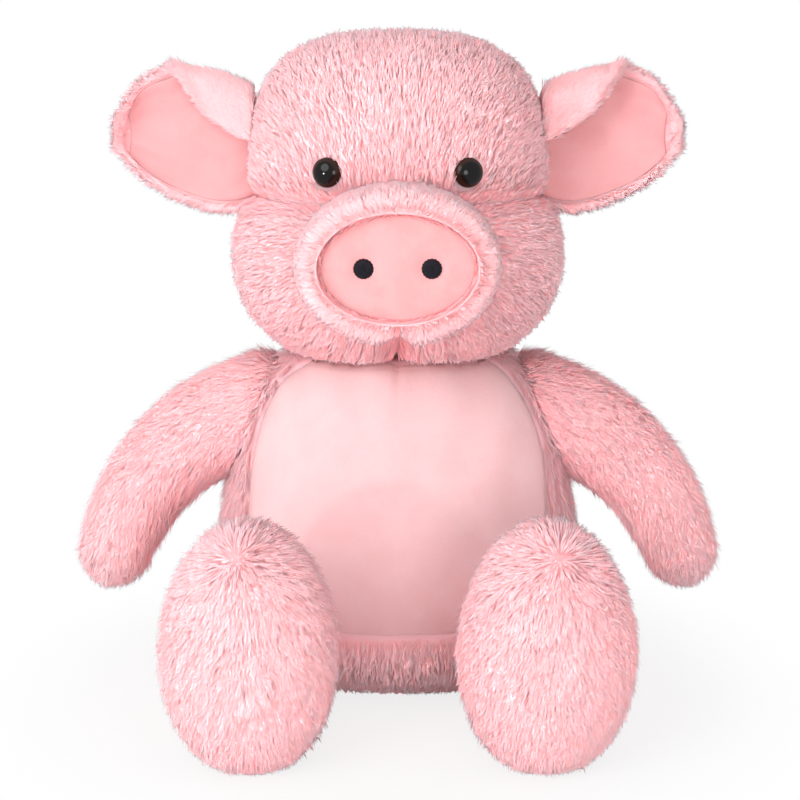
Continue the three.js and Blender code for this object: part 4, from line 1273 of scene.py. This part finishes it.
class OBJECT_OT_pig_snout(PigOperator, bpy.types.Operator):
    """Makes the smooth snout disc and the two embroidered nostrils"""

    bl_idname = "object.pig_snout"
    bl_label = "Snout and nostrils"

    def execute(self, context):
        """A crowned oval disc with a stitched seam near its edge, and two discs of stitches."""
        head, plush = settings("pig_head"), settings("pig_plush")
        middle = muzzle_middle() + (0, head.snout_inset, 0)
        around = 220
        turn = full_turn(around)[None, :]
        r = np.concatenate([np.linspace(0.02, 0.86, 40), np.linspace(0.87, 1.0, 26)])[:, None]
        x = r * head.snout_width / 2 * np.cos(turn)
        z = r * head.snout_tall / 2 * np.sin(turn)
        groove = np.exp(-(((r - 0.972) / 0.012) ** 2))
        stitches = 0.5 + 0.5 * np.cos(turn * 64)
        sink = head.snout_crown * (r**2.6) * 0.5
        drop = 0.0004 * groove * (0.4 + 0.6 * stitches)
        drop = drop + 0.0012 * np.clip((r - 0.97) / 0.03, 0, 1) ** 2
        dent = np.zeros_like(x)
        for side in (-1, 1):
            gap = np.hypot(x - side * head.nostril_spacing / 2, z)
            dent += 0.0011 * np.exp(-((gap / 0.0058) ** 4))
        front = np.stack([x, sink + drop + dent, z], axis=-1) + middle
        back = np.stack([x * 0.995, 0 * x + head.snout_crown + 0.0065, z * 0.995], axis=-1) + middle
        grid = np.concatenate([back[::6], front[::-1]])
        points, quads, triangles = closed_skin(grid)
        material = made_material("snout", plush_material, "snout_plush", plush.snout, 1.6)
        uv = grid_uv(len(grid), around, 2)
        piece = new_piece("snout_plush", points, quads, triangles, material, uv=uv)
        # Seam and shade: the stitched groove, and painted shade darkening towards the rim where the
        # disc turns in.
        seam = (groove * (0.1 + 0.4 * stitches) + 0.1 * np.clip((r - 0.955) / 0.04, 0, 1))[::-1]
        crease = np.concatenate([np.full((len(grid) - len(seam), around), 0.3), seam + 0 * turn])
        add_seam_and_shade(piece, np.concatenate([crease.ravel(), [1, 0]]))
        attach(piece, "head")
        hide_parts("snout_disc")
        for side, name in SIDES:
            self.nostril(middle + (side * head.nostril_spacing / 2, 0, 0), name)
        return {"FINISHED"}

    @staticmethod
    def nostril(middle, name):
        """A low cushion of satin stitches: a dome whose height waves across the stitches."""
        head = settings("pig_head")
        around = 72
        turn = full_turn(around)[None, :]
        r = np.linspace(0.03, 1, 26)[:, None]
        radius = head.nostril / 2 * (1 + 0.03 * np.sin(turn * 17) + 0.02 * np.sin(turn * 29 + 1))
        x, z = r * radius * np.cos(turn), r * radius * np.sin(turn)
        thread = np.abs(np.sin((x * 0.94 + z * 0.34) * 5200))
        height = 0.0011 * (1 - r**4) + 0.00032 * thread * (1 - r**6)
        front = np.stack([x, 0.0010 - height, z], axis=-1) + middle
        back = np.stack([x * 0.98, 0 * x + 0.0028, z * 0.98], axis=-1) + middle
        grid = np.concatenate([back[::5], front[::-1]])
        points, quads, triangles = closed_skin(grid)
        material = made_material("thread", thread_material)
        uv = grid_uv(len(grid), around, 2)
        piece = new_piece(f"nostril_stitches_{name}", points, quads, triangles, material, uv=uv)
        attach(piece, "head")
        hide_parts(f"nostril_{name}")


class OBJECT_OT_pig_eyes(PigOperator, bpy.types.Operator):
    """Makes the two glossy eyes"""

    bl_idname = "object.pig_eyes"
    bl_label = "Eyes"

    def execute(self, context):
        """A turned dome: radius R cos a, height rim + (dome - rim) sin a, above a short edge."""
        head = settings("pig_head")
        material = made_material("eye", eye_material)
        rim = 0.0016
        angles = np.linspace(0, math.pi / 2, 26)[:-1]
        radius = np.concatenate([[0.7, 0.93, 1.0], np.cos(angles)]) * head.eye / 2
        height = np.concatenate([[0, 0, 0.0005], rim + (head.eye_dome - rim) * np.sin(angles)])
        around = 48
        turn = full_turn(around)
        for side, name in SIDES:
            seat, look = eye_seat(side)
            line = seat + look * height[:, None]
            right = unit(np.cross(UP, look))
            over = np.cross(look, right)
            spoke = right * np.cos(turn)[:, None] + over * np.sin(turn)[:, None]
            grid = line[:, None] + spoke * radius[:, None, None]
            points, quads, triangles = closed_skin(grid)
            shares = radius / radius.max()
            v = np.concatenate([np.repeat(shares, around), [0.7, 0.0]]) * 0.97 + 0.01
            u = np.concatenate([np.tile(turn / 7 + 0.02, len(radius)), [0.5, 0.5]])
            uv = np.stack([u, v], axis=1)
            piece = new_piece(f"glossy_eye_{name}", points, quads, triangles, material, uv=uv)
            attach(piece, "head")
            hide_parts(f"eye_{name}")
        return {"FINISHED"}


def share_at(shares, along):
    """A row of shares read as a smooth curve from 0 at the root to 1 at the tip."""
    line = smooth_line([(k / (len(shares) - 1), value) for k, value in enumerate(shares)])
    return np.maximum(0, np.interp(along, line[:, 0], line[:, 1]))


def ear_sheet(rows, columns, inset=0.0):
    """The surface where an ear's fur and lining meet, and the way that the lining faces.

    A row runs up the ear, round the fold of the upper edge and down the flap in front of it.
    It starts and ends inside the rim by the inset. The rim is cupped forwards.
    """
    ear = settings("pig_ear")
    along = np.linspace(0, 1 - inset / ear.reach, rows)[:, None]
    down = share_at(EAR_DOWN_SHARES, along) * ear.tall
    straight = down + share_at(EAR_UP_SHARES, along) * ear.tall
    curl = share_at(EAR_CURL_SHARES, along) * math.pi * 0.93
    arc = curl * ear.fold
    flap = share_at(EAR_FLAP_SHARES, along) * ear.flap
    whole = straight + arc + flap
    run = inset + (whole - 2 * inset) * np.linspace(0, 1, columns)[None, :]
    turn = np.clip((run - straight) / ear.fold, 0, curl)
    beyond = np.maximum(0, run - straight - arc)
    cup = ear.cup * along**2 * (2 * run / whole - 1) ** 2
    y = -ear.fold * (1 - np.cos(turn)) - beyond * np.sin(turn) - cup
    z = np.minimum(run, straight) - down + ear.fold * np.sin(turn) + beyond * np.cos(turn)
    x = np.broadcast_to(along * ear.reach, y.shape)
    faces = np.stack([0 * turn, -np.cos(turn), -np.sin(turn)], axis=-1)
    return np.stack([x, y, z], axis=-1) + PIVOTS["ear_left"], faces, along + 0 * run, run / whole


class OBJECT_OT_pig_ears(PigOperator, bpy.types.Operator):
    """Makes the two ears, each a furry back with a smooth lining"""

    bl_idname = "object.pig_ears"
    bl_label = "Ears"
    lining_size = 60, 90  # rows and columns of its grid

    def execute(self, context):
        """The ear's sheet thickened backwards for the fur and forwards for the lining."""
        for side, name in SIDES:
            self.back(side, name)
            self.lining(side, name)
        return {"FINISHED"}

    @staticmethod
    def placed(points, side):
        """The points on the left ear, or mirrored to the right one."""
        return points * (side, 1, 1)

    def back(self, side, name):
        """The fur's backing is a closed sheet, and locks stand on its back and round its rim."""
        ear = settings("pig_ear")
        chance = np.random.default_rng(37 + side)
        sheet, faces, along, _ = ear_sheet(44, 70)
        thick = ear.fur * (1 - 0.5 * along**3)[..., None]
        back = sheet - faces * thick * 0.55
        ring = np.concatenate([back, sheet[:, ::-1] + faces[:, ::-1] * 0.0002], axis=1)
        tip = ring[-1]
        middle = tip.mean(0)
        heading = unit(middle - ring[-4].mean(0))
        cap = [
            middle + (tip - middle) * math.cos(a) + heading * 0.0022 * math.sin(a)
            for a in (0.45, 0.9, 1.25, 1.5)
        ]
        skin = self.placed(np.concatenate([ring, cap]), side)
        centre = PIVOTS["ear_left"] * (side, 1, 1)
        lining, lining_faces, _, _ = ear_sheet(*self.lining_size, ear.inset)
        front = self.placed(lining + lining_faces * 0.0003, side).reshape(-1, 3)
        crown = crown_form().grown(-0.004)

        def clear(p):
            near = front[nearest(p, front)]
            return (np.linalg.norm(p - near, axis=1) > 0.0006) & (crown.reach(p) > 1)

        places, normals = scattered(skin, MOST_LOCKS["ear"], chance, clear)
        flow = unit((places - centre) * (1, 0, 1.1)) + np.array([side * 0.5, 0, 0])
        rim = np.exp(-((normals[:, 1:2] / 0.5) ** 2))
        normals = unit(normals + (AHEAD * 1.3 + UP * 0.5) * rim)
        look = {"size": 0.9, "width": 0.85, "tint": 0.7, "lift": 0.1 * rim[:, 0]}
        hair = locks(places, normals, flow, chance, **look)
        piece = furry(f"ear_fur_{name}", skin, hair)
        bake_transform(piece)
        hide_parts(f"ear_back_{name}")

    def lining(self, side, name):
        """The lining's front is the inset sheet, with soft creases that run from the root."""
        rows, columns = self.lining_size
        sheet, faces, along, run = ear_sheet(rows, columns, settings("pig_ear").inset)
        ripple = np.sin(run * 34 + 2.2 * np.sin(along * 3)) * np.exp(-along * 1.6)
        height = 0.0008 + 0.0005 * ripple + 0.0004 * np.sin(run * 9 + along * 7)
        edge = np.minimum(np.minimum(run, 1 - run) * 6, (1 - along) * 4)
        height = height * np.clip(edge * 3, 0.25, 1)
        front = self.placed(sheet + faces * (height + 0.0003)[..., None], side)
        back = self.placed(sheet + faces * 0.0001, side)
        points, quads, triangles = sheet_skin(front, back)
        tone = settings("pig_plush").lining
        material = made_material("lining", plush_material, "lining_plush", tone, 1.3)
        uv = sheet_uv(rows, columns)
        piece = new_piece(f"ear_lining_plush_{name}", points, quads, triangles, material, uv=uv)
        # Painted shade: darker towards the ear's root and in the ripples' troughs.
        crease = np.exp(-along * 3.0) * 0.55 + np.clip(-ripple, 0, 1) * 0.2
        add_seam_and_shade(piece, np.concatenate([crease.ravel(), np.full(crease.size, 0.25)]))
        start = PIVOTS["ear_left"] * (side, 1, 1)
        start + (side * 0.014, 0, 0)
        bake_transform(piece)
        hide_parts(f"ear_lining_{name}")


class OBJECT_OT_pig_arms(PigOperator, bpy.types.Operator):
    """Makes the fur of the two arms"""

    bl_idname = "object.pig_arms"
    bl_label = "Arms"

    def execute(self, context):
        """A tube along the bowed line, from a round shoulder to a round tip."""
        limb, fur = settings("pig_limb"), settings("pig_fur")
        line = arm_line()
        shares = smooth_line(ARM_SHARES)
        along = np.linspace(0, 1, len(line))
        radii = np.interp(along, shares[:, 0], shares[:, 1]) * limb.arm_thick / 2 - fur.backing
        heading = unit(np.gradient(line, axis=0))
        a = np.linspace(0, math.pi / 2, 12)
        tip = line[-1] + heading[-1] * (limb.arm_thick * 0.44 * np.sin(a[1:, None]))
        start = line[0] - heading[0] * (0.016 * np.sin(a[:0:-1, None]))
        whole = np.vstack([start, line, tip])
        sizes = np.concatenate([radii[0] * np.cos(a[:0:-1]), radii, radii[-1] * np.cos(a[1:])])
        sizes = np.maximum(sizes, 0.0006)
        torso = torso_form().grown(-fur.backing)
        for side, name in SIDES:
            chance = np.random.default_rng(41 + side)
            skin = tube_grid(whole, sizes, 64)
            skin = skin if side > 0 else mirrored(skin)
            clear = lambda p: torso.reach(p) > 1
            places, normals = scattered(skin, MOST_LOCKS["arm"], chance, clear)
            mine = whole * (side, 1, 1)
            flow = unit(np.gradient(mine, axis=0))[nearest(places, mine)]
            flow = flow + np.array([0, 0, -0.25])
            # The tint is lowered where the arm meets the torso: painted shade in that crease.
            tint = 0.58 - 0.25 * fading((torso.reach(places) - 1) * 0.04, 0.006)
            hair = locks(places, normals, flow, chance, size=1.3, width=1.1, tint=tint, lift=0.12)
            piece = furry(f"arm_fur_{name}", skin, hair)
            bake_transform(piece)
            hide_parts(f"arm_casing_{name}")
        return {"FINISHED"}


class OBJECT_OT_pig_legs(PigOperator, bpy.types.Operator):
    """Makes the fur of the two legs and of their feet"""

    bl_idname = "object.pig_legs"
    bl_label = "Legs and feet"
    skin_above = 0.0012  # the floor, at the least
    roots_above = 0.0016

    def execute(self, context):
        """A tapered tube from the hip to the foot, and an upright oval foot."""
        limb, fur = settings("pig_limb"), settings("pig_fur")
        foot = foot_middle()
        hip = PIVOTS["hip_left"]
        t = np.linspace(-0.16, 1, 34)[:, None]
        line = hip + (np.array([foot[0], foot[1], hip[2]]) - hip) * t
        shares = smooth_line(LEG_SHARES)
        radii = np.interp(t[:, 0], shares[:, 0], shares[:, 1]) * limb.leg_thick / 2 - fur.backing
        radii *= np.clip((t[:, 0] + 0.2) / 0.12, 0.3, 1) ** 0.5
        leg = tube_grid(line, radii, 60, UP)
        back = foot + (0, limb.foot_thick / 2 - fur.backing, 0)
        sizes = limb.foot_width - 2 * fur.backing, limb.foot_tall - 2 * fur.backing
        thick = limb.foot_thick - 2 * fur.backing
        sole = facing_grid(FOOT_SHARES, back, thick, *sizes, 44, 88)
        sole[..., 0] += (sole[..., 0] - foot[0]) * 0.06 * (foot[2] - sole[..., 2]) / 0.05
        for side, name in SIDES:
            self.one(side, name, leg, sole, foot)
        return {"FINISHED"}

    def one(self, side, name, leg, sole, foot):
        """One leg, its fur flowing to the foot, and the foot's fur from a whorl near its top."""
        fur = settings("pig_fur")
        turned = (lambda grid: grid) if side > 0 else mirrored
        leg, sole = turned(leg), turned(sole)
        leg[..., 2] = np.maximum(leg[..., 2], self.skin_above)
        sole[..., 2] = np.maximum(sole[..., 2], self.skin_above)
        middle = foot * (side, 1, 1)
        torso = torso_form().grown(-fur.backing)
        chance = np.random.default_rng(53 + side)

        def off_floor(p):
            return p[:, 2] > self.roots_above

        def off_foot(p):
            inner = (p - middle) / (0.028, 0.018, 0.044)
            return (torso.reach(p) > 1) & (np.sum(inner**2, axis=1) > 1) & off_floor(p)

        places, normals = scattered(leg, MOST_LOCKS["leg"], chance, off_foot)
        flow = np.array([0, -1.0, -0.3]) + 0 * places
        hair = locks(places, normals, flow, chance, size=1.1, tint=0.58, lift=0.05)
        piece = furry(f"leg_fur_{name}", leg, hair)
        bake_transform(piece)
        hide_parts(f"leg_casing_{name}")

        places, normals = scattered(sole, MOST_LOCKS["foot"], chance, off_floor)
        away = unit((places - middle) * (1, 0, 0.6))
        whorl = middle + (side * 0.003, -0.014, 0.041)
        near = np.exp(-np.sum((places - whorl) ** 2, axis=1) / 0.016**2)
        centre = np.exp(-np.sum((places - whorl) ** 2, axis=1) / 0.005**2)
        radial = unit((places - whorl) * (1, 0.8, 1))
        down = np.array([0, 0.1, -1.0]) + away * (0.3, 0, 0)
        apart = np.clip(near + (normals[:, 2] > 0.35), 0, 1)[:, None]
        flow = down * (1 - apart) + radial * apart
        # The tint is lowered round the whorl: painted shade where the fur parts.
        look = {"size": 1.15, "tint": 0.64 - 0.1 * near, "lift": 0.06 + 0.8 * centre}
        hair = locks(places, normals, flow, chance, **look)
        piece = furry(f"foot_fur_{name}", sole, hair)
        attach(piece, f"leg_{name}")
        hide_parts(f"foot_sole_{name}")


class OBJECT_OT_pig_tail(PigOperator, bpy.types.Operator):
    """Makes the curly tail"""

    bl_idname = "object.pig_tail"
    bl_label = "Tail"

    def execute(self, context):
        """A stem straight back, then a curl: sideways R sin a, up R (1 - cos a), and backwards."""
        limb = settings("pig_limb")
        chance = np.random.default_rng(61)
        root = PIVOTS["tail"]
        share_along = np.linspace(0, 1, 60)
        a = share_along * 1.35 * 2 * math.pi
        radius = limb.tail_curl / 2
        curl = np.stack([
            radius * np.sin(a),
            limb.tail_stem + share_along * limb.tail_reach,
            radius * (1 - np.cos(a)),
        ], axis=1) + root
        rings = 90
        line = spaced(smooth_line(np.vstack([root - (0, 0.004, 0), root, curl[::4]])), rings)
        taper = np.linspace(1, 0.5, rings) * limb.tail_thick / 2 - 0.0012
        taper[-6:] *= np.sqrt(np.linspace(1, 0.02, 6))
        skin = tube_grid(line, taper, 20, np.array([0.3, 0, 1.0]))
        places, normals = scattered(skin, MOST_LOCKS["tail"], chance)
        flow = unit(np.gradient(line, axis=0))[nearest(places, line)]
        hair = locks(places, normals, flow, chance, size=0.42, width=0.6, tint=0.5)
        piece = furry("tail_fur", skin, hair)
        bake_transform(piece)
        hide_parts("tail")
        return {"FINISHED"}


class OBJECT_OT_pig_inside(PigOperator, bpy.types.Operator):
    """Gives what is inside its materials: filling, pellet bag and lock washers"""

    bl_idname = "object.pig_inside"
    bl_label = "Inside"

    def execute(self, context):
        """Each inner node keeps its shape and gets a worked-out material."""
        kinds = {
            "stuffing": ("white_fibre", (0.90, 0.88, 0.84), 400.0, 0.9),
            "pellet_bag": ("calico", (0.80, 0.74, 0.62), 900.0, 0.85),
            "washer": ("washer_plastic", (0.80, 0.80, 0.77), 500.0, 0.4),
        }
        for node, obj in frame["nodes"].items():
            for word, values in kinds.items():
                if word in node:
                    obj.data.materials.clear()
                    obj.data.materials.append(made_material(values[0], inner_material, *values))
        return {"FINISHED"}


class OBJECT_OT_pig_stage(PigOperator, bpy.types.Operator):
    """Makes the floor, the lights, the world and the camera"""

    bl_idname = "object.pig_stage"
    bl_label = "Stage"

    def execute(self, context):
        """A pale floor that fades to white, a large soft key from the left and a weak fill."""
        stage = settings("pig_stage")
        self.floor()
        self.world(stage.world)
        self.lamp("key", (-0.78, -0.98, 0.72), 0.9, stage.key)
        self.lamp("fill", (0.30, -1.30, 0.20), 0.5, stage.fill)
        self.lamp("catch", (-0.70, -0.80, 0.13), 0.07, stage.catch)
        camera = bpy.data.cameras.new("camera")
        camera.lens = stage.lens
        camera.sensor_width = 36
        holder = in_scene("camera", camera)
        target = Vector((0.0009, 0.0, 0.1271))
        tilt = stage.elevation
        back = Vector((0, -math.cos(tilt), math.sin(tilt)))
        self.aim(holder, target + back * stage.distance, -back)
        scene = bpy.context.scene
        scene.camera = holder
        scene.view_settings.view_transform = "Standard"
        return {"FINISHED"}

    @staticmethod
    def aim(holder, place, way):
        """Puts a camera or a light at a place, to look a way."""
        holder.location = place
        holder.rotation_mode = "QUATERNION"
        holder.rotation_quaternion = way.to_track_quat("-Z", "Y")

    def lamp(self, name, place, size, watts):
        """A round soft light that looks at the toy's middle."""
        light = bpy.data.lights.new(name, "AREA")
        light.shape = "DISK"
        light.size = size
        light.energy = watts
        middle = Vector((0, 0, 0.12))
        self.aim(in_scene(name, light), place, middle - Vector(place))

    @staticmethod
    def floor():
        """A disc on the floor, pale near the toy and fading to the backdrop's white."""
        radii = np.concatenate([[0.0005], np.linspace(0.05, 3.0, 40)])
        turn = full_turn(64)
        x, y = radii[:, None] * np.cos(turn), radii[:, None] * np.sin(turn)
        top = np.stack([x, y, 0 * x], axis=-1)
        grid = np.concatenate([top, top[::-1] - (0, 0, 0.01)])
        points, quads, triangles = closed_skin(grid)
        material, graph = new_material("pale_floor")
        length_of = {"operation": "LENGTH"}
        gap = graph.node("ShaderNodeVectorMath", length_of, {0: graph.place()}, "Value")
        near = {"Base Color": rgba((0.97, 0.95, 0.95)), "Roughness": 0.9, "Specular IOR Level": 0.1}
        plain = graph.node("ShaderNodeBsdfPrincipled", None, near)
        white = graph.node("ShaderNodeEmission", None, {"Color": rgba((1, 1, 1)), "Strength": 1.0})
        fade = (0.8 + 0.2 * graph.step(gap, 0.11, 0.20)) * graph.seen()
        graph.surface(graph.node("ShaderNodeMixShader", None, {0: fade, 1: plain, 2: white}))
        piece = new_piece("floor", points, quads, triangles, material)

    @staticmethod
    def world(strength):
        """White to the camera and in reflections, and a weaker white light for everything else."""
        world = bpy.data.worlds.new("studio")
        world.use_nodes = True
        bpy.context.scene.world = world
        graph = Graph(world.node_tree)
        seen = graph.maths("MINIMUM", graph.seen(), 1)
        light, white = (
            graph.node("ShaderNodeBackground", None, {"Color": rgba((1, 1, 1)), "Strength": level})
            for level in (strength, 1.0)
        )
        both = graph.node("ShaderNodeMixShader", None, {0: seen, 1: light, 2: white})
        graph.node("ShaderNodeOutputWorld", None, {"Surface": both})


OPERATORS = (
    OBJECT_OT_pig_body,
    OBJECT_OT_pig_belly,
    OBJECT_OT_pig_head,
    OBJECT_OT_pig_muzzle,
    OBJECT_OT_pig_snout,
    OBJECT_OT_pig_eyes,
    OBJECT_OT_pig_ears,
    OBJECT_OT_pig_arms,
    OBJECT_OT_pig_legs,
    OBJECT_OT_pig_tail,
    OBJECT_OT_pig_inside,
    OBJECT_OT_pig_stage,
)


class VIEW3D_PT_plush_pig(bpy.types.Panel):
    """Lists the toy's settings and operators in the sidebar."""

    bl_label = "Plush Pig"
    bl_idname = "VIEW3D_PT_plush_pig"
    bl_space_type = "VIEW_3D"
    bl_region_type = "UI"
    bl_category = "Plush Pig"

    def draw(self, context):
        """One button for each operator, then each group's settings."""
        for operator in OPERATORS:
            self.layout.operator(operator.bl_idname, text=operator.bl_label)
        for name, group in SETTINGS.items():
            box = self.layout.box()
            box.label(text=group.__doc__)
            for key in group.__annotations__:
                box.prop(getattr(context.scene, name), key)


def register():
    """Registers the settings, the operators and the panel."""
    for name, group in SETTINGS.items():
        bpy.utils.register_class(group)
        setattr(bpy.types.Scene, name, bpy.props.PointerProperty(type=group))
    for kind in (*OPERATORS, VIEW3D_PT_plush_pig):
        bpy.utils.register_class(kind)


def unregister():
    """Takes back what register made."""
    for kind in reversed((*OPERATORS, VIEW3D_PT_plush_pig)):
        bpy.utils.unregister_class(kind)
    for name, group in SETTINGS.items():
        delattr(bpy.types.Scene, name)
        bpy.utils.unregister_class(group)


def main():
    """Makes the whole toy."""
    register()
    for operator in OPERATORS:
        group, name = operator.bl_idname.split(".")
        getattr(getattr(bpy.ops, group), name)()


if __name__ == "__main__":
    main()
